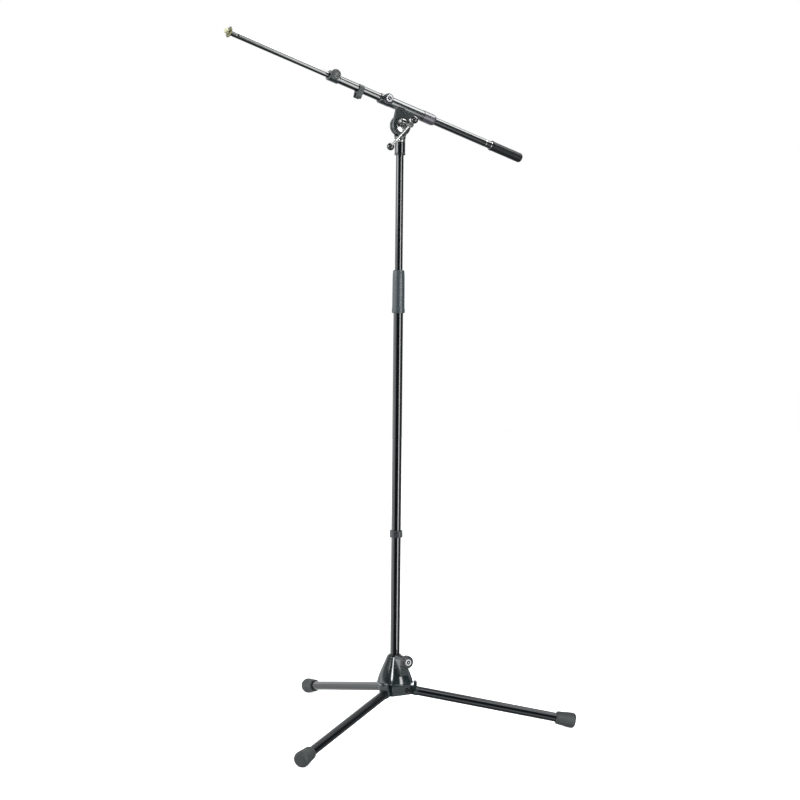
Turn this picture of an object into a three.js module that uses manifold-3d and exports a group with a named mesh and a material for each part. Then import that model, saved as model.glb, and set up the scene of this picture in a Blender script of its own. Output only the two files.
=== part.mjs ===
// Boom microphone stand: folding tripod base, two-piece upright with a twist clutch,
// tilting boom head and a two-piece telescopic boom.
//
// Millimetres, +Z up. The origin is on the floor, under the axis of the upright.
// The boom lies in the XZ plane with its tip towards -X, and every control faces -Y.
import * as THREE from 'three';
import { mergeVertices } from 'three/addons/utils/BufferGeometryUtils.js';
import Module from 'manifold-3d';

const wasm = await Module();
wasm.setup();

// ---------------------------------------------------------------- driving dimensions

const GAP = 0.3; // clearance between pieces that touch
const RUNNING_GAP = 0.2; // radial clearance of a piece that slides or turns on another
const ROUND = 20; // sides of a round piece
const FINE_ROUND = 27; // sides of a large round piece
const SMALL_ROUND = 12; // sides of a pin or a screw

// Upright
const LOWER_TUBE_R = 8.8;
const LOWER_TUBE_WALL = 1;
const LOWER_TUBE_TOP = 812;
const UPPER_TUBE_R = 7;
const UPPER_TUBE_WALL = 0.9;
const UPPER_TUBE_BOTTOM = 300;
const STOP_RING_Z = 362.5;
const CLUTCH_BOTTOM = 770;
const CLUTCH_TOP = 848.8;

// Tripod base
const LEG_AZIMUTHS = { right: -30, rear: 90, left: 210 };
const CASTING_BOTTOM = 63;
const CASTING_TOP = 135.4;
const BELL_RIM_Z = 85;
const FACET_RADIUS = 24; // axis to the flat facets between the legs
const LEG_FACE_RADIUS = 29; // axis to the slotted faces that the legs come out of
const HINGE_RADIUS = 23.8;
const LEG_SLOPE = THREE.MathUtils.degToRad(10.8);
const FOOT_TIP_RADIUS = 338;
const FOOT_TIP_AXIS_Z = 12.2; // low enough that the floor plane cuts a flat sole
const HINGE_Z = FOOT_TIP_AXIS_Z + (FOOT_TIP_RADIUS - HINGE_RADIUS) * Math.tan(LEG_SLOPE);
const LEG_LENGTH = (FOOT_TIP_RADIUS - HINGE_RADIUS) / Math.cos(LEG_SLOPE);
const LEG_TUBE_R = 8.5;
const LEG_TUBE_WALL = 1;
const LEG_TUBE_START = 22; // measured from the hinge
const LEG_TUBE_END = LEG_LENGTH - 11.5;
const FOOT_LENGTH = 37;
const FOOT_R = 14.3;
const FLANGE_NEAR = 11.5; // hinge axis to the leg's flange plate, level with the floor
const FLANGE_FAR = 17.7;
const SLOT_HALF_WIDTH = 6.3;
const PIN_R = 2.5;
const PIN_HEAD_R = 4.6;
const PIN_HEAD_NEAR = 12.2;
const BUSH_FLANGE_R = 12.4;
const BASE_KNOB_Z = 130;
const BASE_KNOB_R = 12;
const KNOB_SCREW_R = 4;

// Head
const HEAD_BOTTOM = 1057.5;
const NECK_BOTTOM = 1086.4;
const PIVOT_Z = 1111;
const LUG_R = 18.5;
const LUG_THICKNESS = 6.5;
const LUG_INNER_Y = 1; // half the space that the friction disc fills
const PIVOT_SCREW_R = 4;
const T_HEAD_Y = -34.5;
const T_BAR_ANGLE = THREE.MathUtils.degToRad(45);
const T_BAR_SPAN = 70.8; // between the ball centres
const BALL_R = 6.9;
const BALL_STOP = 12.8; // screw axis to the centre of the ball that rests on the screw head

// Boom, in a frame at the pivot: X runs down the boom towards its grip, Z across it
const BOOM_TILT = THREE.MathUtils.degToRad(17.4);
const BOOM_OFFSET = 33.6; // pivot to boom axis
const SLEEVE_FRONT = -33.7;
const SLEEVE_REAR = 38.1;
const SLEEVE_R = 9.7;
const OUTER_TUBE_R = 7.2;
const OUTER_TUBE_WALL = 0.9;
const OUTER_TUBE_FRONT = -153;
const OUTER_TUBE_REAR = 265;
const INNER_TUBE_R = 5.2;
const INNER_TUBE_WALL = 0.8;
const INNER_TUBE_FRONT = -372.7;
const INNER_TUBE_REAR = 20;
const CLAMP_R = 9.4;
const MOUNT_CLAMP = { front: -58, rear: -34, knobX: -47, drop: 1, knobZ: 0.4 };
const TIP_CLAMP = { front: -169, rear: -147, knobX: -162.4, drop: -0.2, knobZ: 2.6 };
const CLAMP_KNOB_R = 9.2;
const CLIP_CENTRE = -100.5;
const CLIP_WIDTH = 10.4;
const CLIP_CHANNEL_WIDTH = 6.8;
const CLIP_CHANNEL_TOP = -9.8;
const CLIP_MOUTH = 4.6;
const GRIP_FRONT = 198.5;
const GRIP_REAR = 270.5;
const GRIP_R = 9;

// ---------------------------------------------------------------- materials

const finish = (color, roughness, metalness) =>
  new THREE.MeshStandardMaterial({ color, roughness, metalness });

const glossBlack = finish(0x0b0d10, 0.18, 0.5);
const castBlack = finish(0x181d1f, 0.35, 0.3);
const clutchPlastic = finish(0x3b4a52, 0.45, 0);
const knobPlastic = finish(0x1d2022, 0.5, 0);
const rubber = finish(0x2b2d2e, 0.85, 0);
const chrome = finish(0xc9c9c4, 0.15, 1);
const zinc = finish(0x8f8a72, 0.35, 0.9);
const capSilver = finish(0xd8dadb, 0.3, 0.6);
const darkPlastic = finish(0x121415, 0.55, 0);

// ---------------------------------------------------------------- solids

// A closed three.js geometry as a solid, with its faces pointing out.
function solid(geometry) {
  const bare = geometry.index ? geometry.toNonIndexed() : geometry.clone();
  bare.deleteAttribute('normal');
  bare.deleteAttribute('uv');
  const merged = mergeVertices(bare, 1e-4);
  const points = merged.attributes.position.array;
  const index = merged.index.array;
  const triangles = [];
  let sixVolumes = 0;
  for (let i = 0; i < index.length; i += 3) {
    const [a, b, c] = [index[i], index[i + 1], index[i + 2]];
    if (a === b || b === c || c === a) continue;
    triangles.push(a, b, c);
    const [pa, pb, pc] = [a, b, c].map((k) => new THREE.Vector3().fromArray(points, 3 * k));
    sixVolumes += pa.dot(pb.cross(pc));
  }
  if (sixVolumes < 0) triangles.reverse();
  return new wasm.Manifold(
    new wasm.Mesh({ numProp: 3, vertProperties: points, triVerts: new Uint32Array(triangles) }),
  );
}

// A named part from a solid.
function part(name, body, material) {
  const { vertProperties, triVerts } = body.getMesh();
  const geometry = new THREE.BufferGeometry();
  geometry.setAttribute('position', new THREE.BufferAttribute(vertProperties, 3));
  geometry.setIndex(new THREE.BufferAttribute(triVerts, 1));
  geometry.computeVertexNormals();
  const mesh = new THREE.Mesh(geometry, material);
  mesh.name = name;
  return mesh;
}

function groupOf(...children) {
  const group = new THREE.Group();
  group.add(...children);
  return group;
}

// A turned piece about Z. The profile is a list of [radius, z].
function turnedGeometry(profile, sides = ROUND) {
  const outline = profile.map(([radius, z]) => new THREE.Vector2(radius, z));
  return new THREE.LatheGeometry(outline, sides).rotateX(Math.PI / 2);
}

const turned = (profile, sides) => solid(turnedGeometry(profile, sides));

// The same, about X or about -Y: the profile's second number runs along that direction.
const turnedAlongX = (profile, sides) => solid(turnedGeometry(profile, sides).rotateY(Math.PI / 2));
const turnedAlongMinusY = (profile, sides) =>
  solid(turnedGeometry(profile, sides).rotateX(Math.PI / 2));

// A solid bar or a pipe as a closed profile.
const bar = (radius, from, to) => [[0, from], [radius, from], [radius, to], [0, to]];
const pipe = (inner, outer, from, to) => [
  [inner, from], [outer, from], [outer, to], [inner, to], [inner, from],
];

function box(width, depth, height, x, y, z) {
  return solid(new THREE.BoxGeometry(width, depth, height).translate(x, y, z));
}

// An outline in the plane across Z, extruded upwards from z.
function extruded(shape, height, z, curveSegments = 6) {
  const options = { depth: height, bevelEnabled: false, curveSegments };
  return solid(new THREE.ExtrudeGeometry(shape, options).translate(0, 0, z));
}

// An outline drawn in X and Z, extruded along Y from y0 to y1.
function extrudedAlongY(shape, y0, y1, curveSegments = 8) {
  const options = { depth: y1 - y0, bevelEnabled: false, curveSegments };
  const geometry = new THREE.ExtrudeGeometry(shape, options);
  return solid(geometry.rotateX(Math.PI / 2).translate(0, y1, 0));
}

function polygon(points) {
  return new THREE.Shape(points.map(([x, y]) => new THREE.Vector2(x, y)));
}

// A gear-like outline: a round knob rim with shallow finger flutes.
function flutedShape(radius, flutes, depth) {
  const points = [];
  const steps = flutes * 2;
  for (let i = 0; i < steps; i++) {
    const angle = (2 * Math.PI * i) / steps;
    const r = radius - depth * (0.5 - 0.5 * Math.cos(flutes * angle));
    points.push([r * Math.cos(angle), r * Math.sin(angle)]);
  }
  return polygon(points);
}

// A knob that turns about a line along -Y, from distance `near` out to distance `far`.
function knobBody(radius, near, far, flutes, recessRadius, recessDepth) {
  const shape = flutedShape(radius, flutes, radius * 0.07);
  const rim = extrudedAlongY(shape, -far, -near);
  const bevel = radius * 0.14;
  const rounding = turnedAlongMinusY(
    [[0, near], [radius - bevel, near], [radius + 0.5, near + bevel],
      [radius + 0.5, far - bevel], [radius - bevel, far], [0, far]],
  );
  const recess = turnedAlongMinusY(bar(recessRadius, far - recessDepth, far + 1));
  return rim.intersect(rounding).subtract(recess);
}

// ---------------------------------------------------------------- tripod base

function baseCasting() {
  const rimRadius = 34.2;
  const lobing = 0.015; // the bell bulges towards the three legs
  const bell = turnedGeometry(
    [[0, BELL_RIM_Z - 3], [rimRadius - 4, BELL_RIM_Z - 3], [rimRadius, BELL_RIM_Z],
      [31.9, 93], [29.3, 100], [26.1, 108], [22.6, 116], [18.5, 125], [14.6, CASTING_TOP - 1],
      [13.2, CASTING_TOP], [0, CASTING_TOP]],
    FINE_ROUND,
  );
  const spots = bell.attributes.position;
  for (let i = 0; i < spots.count; i++) {
    const [x, y, z] = [spots.getX(i), spots.getY(i), spots.getZ(i)];
    const flare = (CASTING_TOP - z) / (CASTING_TOP - BELL_RIM_Z);
    const angle = Math.atan2(y, x) - THREE.MathUtils.degToRad(LEG_AZIMUTHS.rear);
    const scale = 1 + lobing * Math.max(flare, 0) * Math.cos(3 * angle);
    spots.setXY(i, x * scale, y * scale);
  }

  // Six-sided block under the bell: three wide facets and three narrow leg faces.
  const halfLegFace =
    (FACET_RADIUS - LEG_FACE_RADIUS * Math.cos(Math.PI / 3)) / Math.sin(Math.PI / 3);
  const corners = [];
  for (const degrees of Object.values(LEG_AZIMUTHS)) {
    for (const side of [-halfLegFace, halfLegFace]) {
      const corner = new THREE.Vector2(LEG_FACE_RADIUS, side);
      corner.rotateAround(new THREE.Vector2(), THREE.MathUtils.degToRad(degrees));
      corners.push([corner.x, corner.y]);
    }
  }
  const block = extruded(polygon(corners), BELL_RIM_Z - CASTING_BOTTOM, CASTING_BOTTOM);

  // Boss for the clamping knob, rounded over the top.
  const bossFront = 35;
  const bossHalfWidth = 9;
  const bossBottom = 103;
  const bossOutline = new THREE.Shape();
  bossOutline.moveTo(-bossHalfWidth, bossBottom);
  bossOutline.lineTo(bossHalfWidth, bossBottom);
  bossOutline.lineTo(bossHalfWidth, BASE_KNOB_Z);
  bossOutline.absarc(0, BASE_KNOB_Z, bossHalfWidth, 0, Math.PI, false);
  const boss = extrudedAlongY(bossOutline, -bossFront, -10);

  let casting = solid(bell).add(block).add(boss);

  // Bore for the upright, wider at the top for the guide bush, and the knob's screw hole.
  const bore = LOWER_TUBE_R + RUNNING_GAP;
  casting = casting
    .subtract(turned(bar(bore, CASTING_BOTTOM - 1, CASTING_TOP + 10)))
    .subtract(turned(bar(bore + 2, CASTING_TOP - 12, CASTING_TOP + 10)))
    .subtract(turned(bar(BUSH_FLANGE_R + GAP, CASTING_TOP, CASTING_TOP + 10)))
    .subtract(
      turnedAlongMinusY(bar(KNOB_SCREW_R + GAP, 5, bossFront + 1), 20).translate([0, 0, BASE_KNOB_Z]),
    );

  // A slot and a pin hole for each leg.
  const slotInner = 14.2;
  const slotTop = HINGE_Z + 10.4;
  for (const degrees of Object.values(LEG_AZIMUTHS)) {
    const slot = box(
      40, 2 * SLOT_HALF_WIDTH, slotTop - CASTING_BOTTOM + 1,
      slotInner + 20, 0, (slotTop + CASTING_BOTTOM - 1) / 2,
    );
    const hole = turnedAlongMinusY(bar(PIN_R + GAP, -20, 20), SMALL_ROUND);
    const headPocket = turnedAlongMinusY(
      bar(PIN_HEAD_R + GAP, PIN_HEAD_NEAR - GAP, 24), SMALL_ROUND,
    );
    const pinHole = hole.add(headPocket).translate([HINGE_RADIUS, 0, HINGE_Z]);
    casting = casting.subtract(slot.add(pinHole).rotate([0, 0, degrees]));
  }
  return part('base_casting', casting, castBlack);
}

// Hinge pin across one leg slot, with a round head on its -Y side.
function legPin(name) {
  const profile = [
    [0, -13.2], [PIN_R, -13.2], [PIN_R, PIN_HEAD_NEAR], [PIN_HEAD_R, PIN_HEAD_NEAR],
    [PIN_HEAD_R, 15.6], [PIN_HEAD_R - 0.8, 16.4], [0, 16.4],
  ];
  const pin = part(name, turnedAlongMinusY(profile, SMALL_ROUND), darkPlastic);
  pin.position.set(HINGE_RADIUS, 0, HINGE_Z);
  return pin;
}

function baseBush() {
  const inner = LOWER_TUBE_R + RUNNING_GAP;
  const outer = inner + 1.7;
  const profile = [
    [inner, CASTING_TOP - 11.5], [outer, CASTING_TOP - 11.5], [outer, CASTING_TOP + GAP],
    [BUSH_FLANGE_R, CASTING_TOP + GAP], [BUSH_FLANGE_R, CASTING_TOP + 1.2],
    [BUSH_FLANGE_R - 0.6, CASTING_TOP + 1.8], [inner, CASTING_TOP + 1.8],
    [inner, CASTING_TOP - 11.5],
  ];
  const screwHole = turnedAlongMinusY(bar(KNOB_SCREW_R + GAP, 5, 20), 20)
    .translate([0, 0, BASE_KNOB_Z]);
  return part('base_bush', turned(profile).subtract(screwHole), darkPlastic);
}

function baseKnob() {
  const near = 35.6;
  const far = 47.6;
  const recess = 1.6;
  const capR = 6;
  const body = knobBody(BASE_KNOB_R, near, far, 16, capR + GAP, recess)
    .subtract(turnedAlongMinusY(bar(KNOB_SCREW_R + GAP, near - 1, near + 7), 20));
  const tip = LOWER_TUBE_R + GAP;
  const screw = turnedAlongMinusY(
    [[0, tip], [KNOB_SCREW_R - 1, tip], [KNOB_SCREW_R, tip + 1], [KNOB_SCREW_R, near + 6.5],
      [0, near + 6.5]],
    20,
  );
  const cap = turnedAlongMinusY(
    [[0, far - recess + GAP], [capR, far - recess + GAP], [capR, far + 0.2],
      [capR - 0.6, far + 0.7], [0, far + 0.7]],
  );
  const group = groupOf(
    part('base_knob', body, knobPlastic),
    part('base_knob_screw', screw, chrome),
    part('base_knob_cap', cap, capSilver),
  );
  group.position.z = BASE_KNOB_Z;
  return group;
}

// One leg in its own frame: the hinge is the origin and X runs out along the tube.

function legKnuckle(name) {
  const tongueRadius = 9;
  const tongueOutline = new THREE.Shape();
  tongueOutline.moveTo(FLANGE_NEAR + 2, 7.6);
  tongueOutline.lineTo(0, tongueRadius);
  tongueOutline.absarc(0, 0, tongueRadius, Math.PI / 2, 1.5 * Math.PI, false);
  tongueOutline.lineTo(FLANGE_NEAR + 2, -7.6);
  const halfTongue = SLOT_HALF_WIDTH - 0.4;
  const tongue = extrudedAlongY(tongueOutline, -halfTongue, halfTongue);

  // Flange plate, upright when the leg is spread: round below, with two ears above that
  // meet the rim of the bell.
  const halfWidth = 10.6;
  const centre = -(FLANGE_NEAR + FLANGE_FAR) / 2 * Math.tan(LEG_SLOPE);
  const earTop = centre + 17.6;
  const plate = new THREE.Shape();
  plate.moveTo(halfWidth, centre + 1);
  plate.lineTo(7.4, earTop - 1.5);
  plate.lineTo(6, earTop);
  plate.lineTo(2, earTop);
  plate.lineTo(1.2, earTop - 3);
  plate.lineTo(-1.2, earTop - 3);
  plate.lineTo(-2, earTop);
  plate.lineTo(-6, earTop);
  plate.lineTo(-7.4, earTop - 1.5);
  plate.lineTo(-halfWidth, centre + 1);
  plate.absarc(0, centre + 0.8, halfWidth, Math.PI, 2 * Math.PI, false);
  const options = { depth: FLANGE_FAR - FLANGE_NEAR, bevelEnabled: false, curveSegments: 8 };
  const flangeGeometry = new THREE.ExtrudeGeometry(plate, options)
    .rotateX(Math.PI / 2)
    .rotateZ(Math.PI / 2)
    .translate(FLANGE_NEAR, 0, 0)
    .rotateY(-LEG_SLOPE);
  const flange = solid(flangeGeometry);

  const shoulder = turnedAlongX(bar(LEG_TUBE_R, FLANGE_FAR - 2, LEG_TUBE_START - GAP));
  const spigot = turnedAlongX(
    bar(LEG_TUBE_R - LEG_TUBE_WALL - GAP, FLANGE_FAR, LEG_TUBE_START + 18), 16,
  );
  const pinHole = turnedAlongMinusY(bar(PIN_R + GAP, -10, 10), SMALL_ROUND);
  return part(name, tongue.add(flange).add(shoulder).add(spigot).subtract(pinHole), castBlack);
}

function legTube(name) {
  const profile = pipe(LEG_TUBE_R - LEG_TUBE_WALL, LEG_TUBE_R, LEG_TUBE_START, LEG_TUBE_END);
  return part(name, turnedAlongX(profile), glossBlack);
}

function foot(name) {
  const end = LEG_LENGTH;
  const start = end - FOOT_LENGTH;
  const step = end - 20;
  const bore = LEG_TUBE_R + GAP;
  const boreEnd = LEG_TUBE_END + GAP;
  const body = turnedAlongX(
    [[bore, start], [11.2, start], [12, start + 2], [12.9, step - 1], [13.5, step + 0.5],
      [FOOT_R, end - 9], [FOOT_R - 0.6, end - 3.6], [FOOT_R - 4.6, end], [0, end], [0, boreEnd],
      [bore, boreEnd], [bore, start]],
  );
  const floor = new THREE.BoxGeometry(90, 60, 20)
    .translate(FOOT_TIP_RADIUS - HINGE_RADIUS - 20, 0, -10 - HINGE_Z)
    .rotateY(-LEG_SLOPE);
  return part(name, body.subtract(solid(floor)), rubber);
}

function leg(side) {
  const swung = groupOf(
    legKnuckle(`leg_${side}_knuckle`),
    legTube(`leg_${side}_tube`),
    foot(`leg_${side}_foot`),
  );
  swung.position.set(HINGE_RADIUS, 0, HINGE_Z);
  swung.rotation.y = LEG_SLOPE;
  const placed = groupOf(swung, legPin(`leg_${side}_pin`));
  placed.rotation.z = THREE.MathUtils.degToRad(LEG_AZIMUTHS[side]);
  return placed;
}

// ---------------------------------------------------------------- upright

function lowerTube() {
  const inner = LOWER_TUBE_R - LOWER_TUBE_WALL;
  const plugTop = CASTING_BOTTOM + 3;
  const plug = [
    [0, CASTING_BOTTOM + 1], [8.2, CASTING_BOTTOM + 1], [8.9, CASTING_BOTTOM + 1.7],
    [8.9, plugTop - GAP], [inner - GAP, plugTop - GAP], [inner - GAP, plugTop + 14],
    [0, plugTop + 14],
  ];
  return groupOf(
    part('lower_tube', turned(pipe(inner, LOWER_TUBE_R, plugTop, LOWER_TUBE_TOP)), glossBlack),
    part('lower_tube_plug', turned(plug), darkPlastic),
  );
}

// Split ring that stops the base casting when it is pushed up the tube to fold the stand.
function stopRing() {
  const height = 13;
  const ringR = 12;
  const inner = LOWER_TUBE_R + GAP;
  const bottom = STOP_RING_Z - height / 2;
  const ring = turned(
    [[inner, bottom], [ringR - 1, bottom], [ringR, bottom + 1], [ringR, bottom + height - 1],
      [ringR - 1, bottom + height], [inner, bottom + height], [inner, bottom]],
  );
  const ears = box(7, 8.4, height - 2, 12.5, 0, STOP_RING_Z);
  const split = box(12, 1.2, height + 2, 14, 0, STOP_RING_Z);
  const screwX = 14;
  const hole = turnedAlongMinusY(bar(1.5 + GAP, -8, 8), SMALL_ROUND)
    .translate([screwX, 0, STOP_RING_Z]);
  const opening = turned(bar(inner, bottom - 1, bottom + height + 1));
  const screw = turnedAlongMinusY(
    [[0, -4], [1.5, -4], [1.5, 4.5], [2.4, 4.5], [2.4, 6.3], [2, 6.7], [0, 6.7]], SMALL_ROUND,
  ).translate([screwX, 0, STOP_RING_Z]);
  const group = groupOf(
    part('stop_ring', ring.add(ears).subtract(split).subtract(hole).subtract(opening), darkPlastic),
    part('stop_ring_screw', screw, darkPlastic),
  );
  group.rotation.z = -Math.PI / 2; // the split faces -Y
  return group;
}

// Twist clutch: a collet fixed in the top of the lower tube and the grip that closes it.
function clutch() {
  const boreR = UPPER_TUBE_R + RUNNING_GAP;
  const spigotR = LOWER_TUBE_R - LOWER_TUBE_WALL - GAP / 2;
  const colletTop = 838;
  const collet = turned(
    [[boreR, 795], [spigotR, 795], [spigotR, LOWER_TUBE_TOP + GAP], [9, LOWER_TUBE_TOP + GAP],
      [9, 822], [8.3, colletTop], [boreR, colletTop], [boreR, 795]],
  );
  const gripBore = LOWER_TUBE_R + RUNNING_GAP + 0.1;
  const grip = turned(
    [[gripBore, CLUTCH_BOTTOM], [11, CLUTCH_BOTTOM], [11.8, CLUTCH_BOTTOM + 1], [11.9, 778],
      [11.4, 808], [11.1, 836], [10.7, 843], [10.2, CLUTCH_TOP - 1], [9.4, CLUTCH_TOP],
      [boreR + 0.1, CLUTCH_TOP], [boreR + 0.1, colletTop + 3], [gripBore, colletTop + 1],
      [gripBore, CLUTCH_BOTTOM]],
    FINE_ROUND,
  );
  return groupOf(
    part('clutch_collet', collet, darkPlastic),
    part('clutch_grip', grip, clutchPlastic),
  );
}

function upperTube() {
  const inner = UPPER_TUBE_R - UPPER_TUBE_WALL;
  const top = HEAD_BOTTOM + 14.5;
  const bushR = LOWER_TUBE_R - LOWER_TUBE_WALL - RUNNING_GAP;
  const bush = [
    [0, UPPER_TUBE_BOTTOM - 12], [bushR - 0.6, UPPER_TUBE_BOTTOM - 12],
    [bushR, UPPER_TUBE_BOTTOM - 11.4], [bushR, UPPER_TUBE_BOTTOM - GAP],
    [inner - GAP, UPPER_TUBE_BOTTOM - GAP], [inner - GAP, UPPER_TUBE_BOTTOM + 16],
    [0, UPPER_TUBE_BOTTOM + 16],
  ];
  const stud = [
    [0, top - 22], [inner - GAP, top - 22], [inner - GAP, top + GAP], [6.9, top + GAP],
    [6.9, top + 3.5], [4.7, top + 3.5], [4.7, top + 17], [4.1, top + 17.6], [0, top + 17.6],
  ];
  const tube = pipe(inner, UPPER_TUBE_R, UPPER_TUBE_BOTTOM, top);
  return groupOf(
    part('upper_tube', turned(tube), glossBlack),
    part('upper_tube_bush', turned(bush), darkPlastic),
    part('upper_tube_stud', turned(stud, 16), zinc),
  );
}

// ---------------------------------------------------------------- head

function head() {
  const bore = UPPER_TUBE_R + RUNNING_GAP;
  const studBore = 5;
  const ring = turned(
    [[bore, HEAD_BOTTOM], [9.4, HEAD_BOTTOM], [9.9, HEAD_BOTTOM + 0.6],
      [9.9, HEAD_BOTTOM + 3.3], [9.5, HEAD_BOTTOM + 3.8], [bore, HEAD_BOTTOM + 3.8],
      [bore, HEAD_BOTTOM]],
  );
  const collarBottom = HEAD_BOTTOM + 3.8 + GAP;
  const collarTop = NECK_BOTTOM - 4.9;
  const step = HEAD_BOTTOM + 18.6;
  const collar = turned(
    [[bore, collarBottom], [9.7, collarBottom], [9.7, collarTop], [studBore, collarTop],
      [studBore, step], [bore, step], [bore, collarBottom]],
  );
  const shoulder = turned(
    [[studBore, collarTop + GAP], [9.3, collarTop + GAP], [9.9, collarTop + 1.4],
      [9.5, NECK_BOTTOM - GAP], [studBore, NECK_BOTTOM - GAP], [studBore, collarTop + GAP]],
  );

  // Fixed half of the tilt joint: a round lug behind the friction disc, on a neck.
  const lugFar = LUG_INNER_Y + LUG_THICKNESS;
  const lug = turnedAlongMinusY(
    [[0, -lugFar], [LUG_R - 1.2, -lugFar], [LUG_R, -lugFar + 1.2], [LUG_R, -LUG_INNER_Y],
      [0, -LUG_INNER_Y]],
    FINE_ROUND,
  ).translate([0, 0, PIVOT_Z]);
  const neckR = 10.2;
  const neck = turned(
    [[0, NECK_BOTTOM], [neckR, NECK_BOTTOM], [10.4, NECK_BOTTOM + 4], [11.3, NECK_BOTTOM + 8],
      [13.5, NECK_BOTTOM + 13], [15, NECK_BOTTOM + 17], [0, NECK_BOTTOM + 17]],
    FINE_ROUND,
  );
  const neckBand = box(40, neckR + lugFar, 40, 0, (lugFar - neckR) / 2, NECK_BOTTOM + 15);
  const swing = turnedAlongMinusY(bar(LUG_R + 0.6, -LUG_INNER_Y + GAP / 2, 20), FINE_ROUND)
    .translate([0, 0, PIVOT_Z]);
  // The front of the neck stops lower on the tip side, clear of the yoke's edge when folded down.
  const foldedDepth = LUG_R + 1.3;
  const foldedSwing = box(
    16, 20, foldedDepth, -8, LUG_INNER_Y - GAP / 2 - 10, PIVOT_Z - foldedDepth / 2,
  );
  const screwHole = turnedAlongMinusY(bar(PIVOT_SCREW_R + GAP, -20, 20), 20)
    .translate([0, 0, PIVOT_Z]);
  const studHole = turned(bar(studBore, NECK_BOTTOM - 1, NECK_BOTTOM + 4.5), 20);
  const headLug = neck.intersect(neckBand).subtract(swing).subtract(foldedSwing).add(lug)
    .subtract(screwHole).subtract(studHole);

  const disc = turnedAlongMinusY(pipe(PIVOT_SCREW_R + GAP, 16.5, -0.7, 0.7))
    .translate([0, 0, PIVOT_Z]);

  // Hexagon nut behind the lug, which the T-screw runs in.
  const nutR = 7.5;
  const nut = turnedAlongMinusY(bar(nutR, -lugFar - GAP - 5, -lugFar - GAP), 6)
    .translate([0, 0, PIVOT_Z])
    .subtract(screwHole);

  return groupOf(
    part('head_ring', ring, darkPlastic),
    part('head_collar', collar, glossBlack),
    part('head_shoulder', shoulder, chrome),
    part('head_lug', headLug, castBlack),
    part('friction_disc', disc, darkPlastic),
    part('pivot_nut', nut, chrome),
  );
}

// Screw that clamps the tilt joint: its shoulder presses on a washer, and a loose bar runs
// through its head.
function tScrew() {
  const headR = 5.5;
  const headNear = -T_HEAD_Y - 4.5;
  const headFar = -T_HEAD_Y + 4.5;
  const rodR = 2.3;
  const washerR = 12.2;
  const washerBack = LUG_INNER_Y + LUG_THICKNESS + GAP;
  const washerFace = washerBack + 1.9;
  const shoulderR = 6.2;
  const shoulderBack = washerFace + GAP;
  const shoulderFace = shoulderBack + 2.6;
  const screwBody = turnedAlongMinusY(
    [[0, -14], [PIVOT_SCREW_R - 0.6, -14], [PIVOT_SCREW_R, -13.4], [PIVOT_SCREW_R, shoulderBack],
      [shoulderR, shoulderBack], [shoulderR, shoulderFace - 0.8], [shoulderR - 0.8, shoulderFace],
      [PIVOT_SCREW_R, shoulderFace], [PIVOT_SCREW_R, headNear], [headR - 0.7, headNear],
      [headR, headNear + 0.7], [headR, headFar - 0.7], [headR - 0.7, headFar], [0, headFar]],
    20,
  );
  const rodHole = turnedAlongX(bar(rodR + GAP, -10, 10), SMALL_ROUND)
    .rotate([0, -THREE.MathUtils.radToDeg(T_BAR_ANGLE), 0])
    .translate([0, T_HEAD_Y, 0]);

  const washer = turnedAlongMinusY(
    [[PIVOT_SCREW_R + GAP, washerBack], [washerR, washerBack], [washerR, washerBack + 0.9],
      [washerR - 1, washerFace], [PIVOT_SCREW_R + GAP, washerFace],
      [PIVOT_SCREW_R + GAP, washerBack]],
  );

  // The bar's frame: X runs from the far ball to the ball that rests on the screw head.
  const upperBallX = BALL_STOP;
  const lowerBallX = BALL_STOP - T_BAR_SPAN;
  const sunk = 2; // the rod ends in a blind hole, this far short of each ball's centre
  const rod = turnedAlongX(bar(rodR, lowerBallX + sunk, upperBallX - sunk), SMALL_ROUND);
  const ballWithHole = (x, from, to) =>
    solid(new THREE.SphereGeometry(BALL_R, 16, 10).translate(x, 0, 0))
      .subtract(turnedAlongX(bar(rodR + GAP, from, to), SMALL_ROUND));
  const upperBall = ballWithHole(upperBallX, upperBallX - 10, upperBallX - sunk + GAP);
  const lowerBall = ballWithHole(lowerBallX, lowerBallX + sunk - GAP, lowerBallX + 10);
  const tBar = groupOf(
    part('t_bar_rod', rod, chrome),
    part('t_bar_ball_upper', upperBall, glossBlack),
    part('t_bar_ball_lower', lowerBall, glossBlack),
  );
  tBar.position.y = T_HEAD_Y;
  tBar.rotation.y = -T_BAR_ANGLE;

  const group = groupOf(
    part('t_screw', screwBody.subtract(rodHole), darkPlastic),
    part('pivot_washer', washer, chrome),
    tBar,
  );
  group.position.z = PIVOT_Z;
  return group;
}

// ---------------------------------------------------------------- boom

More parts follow.
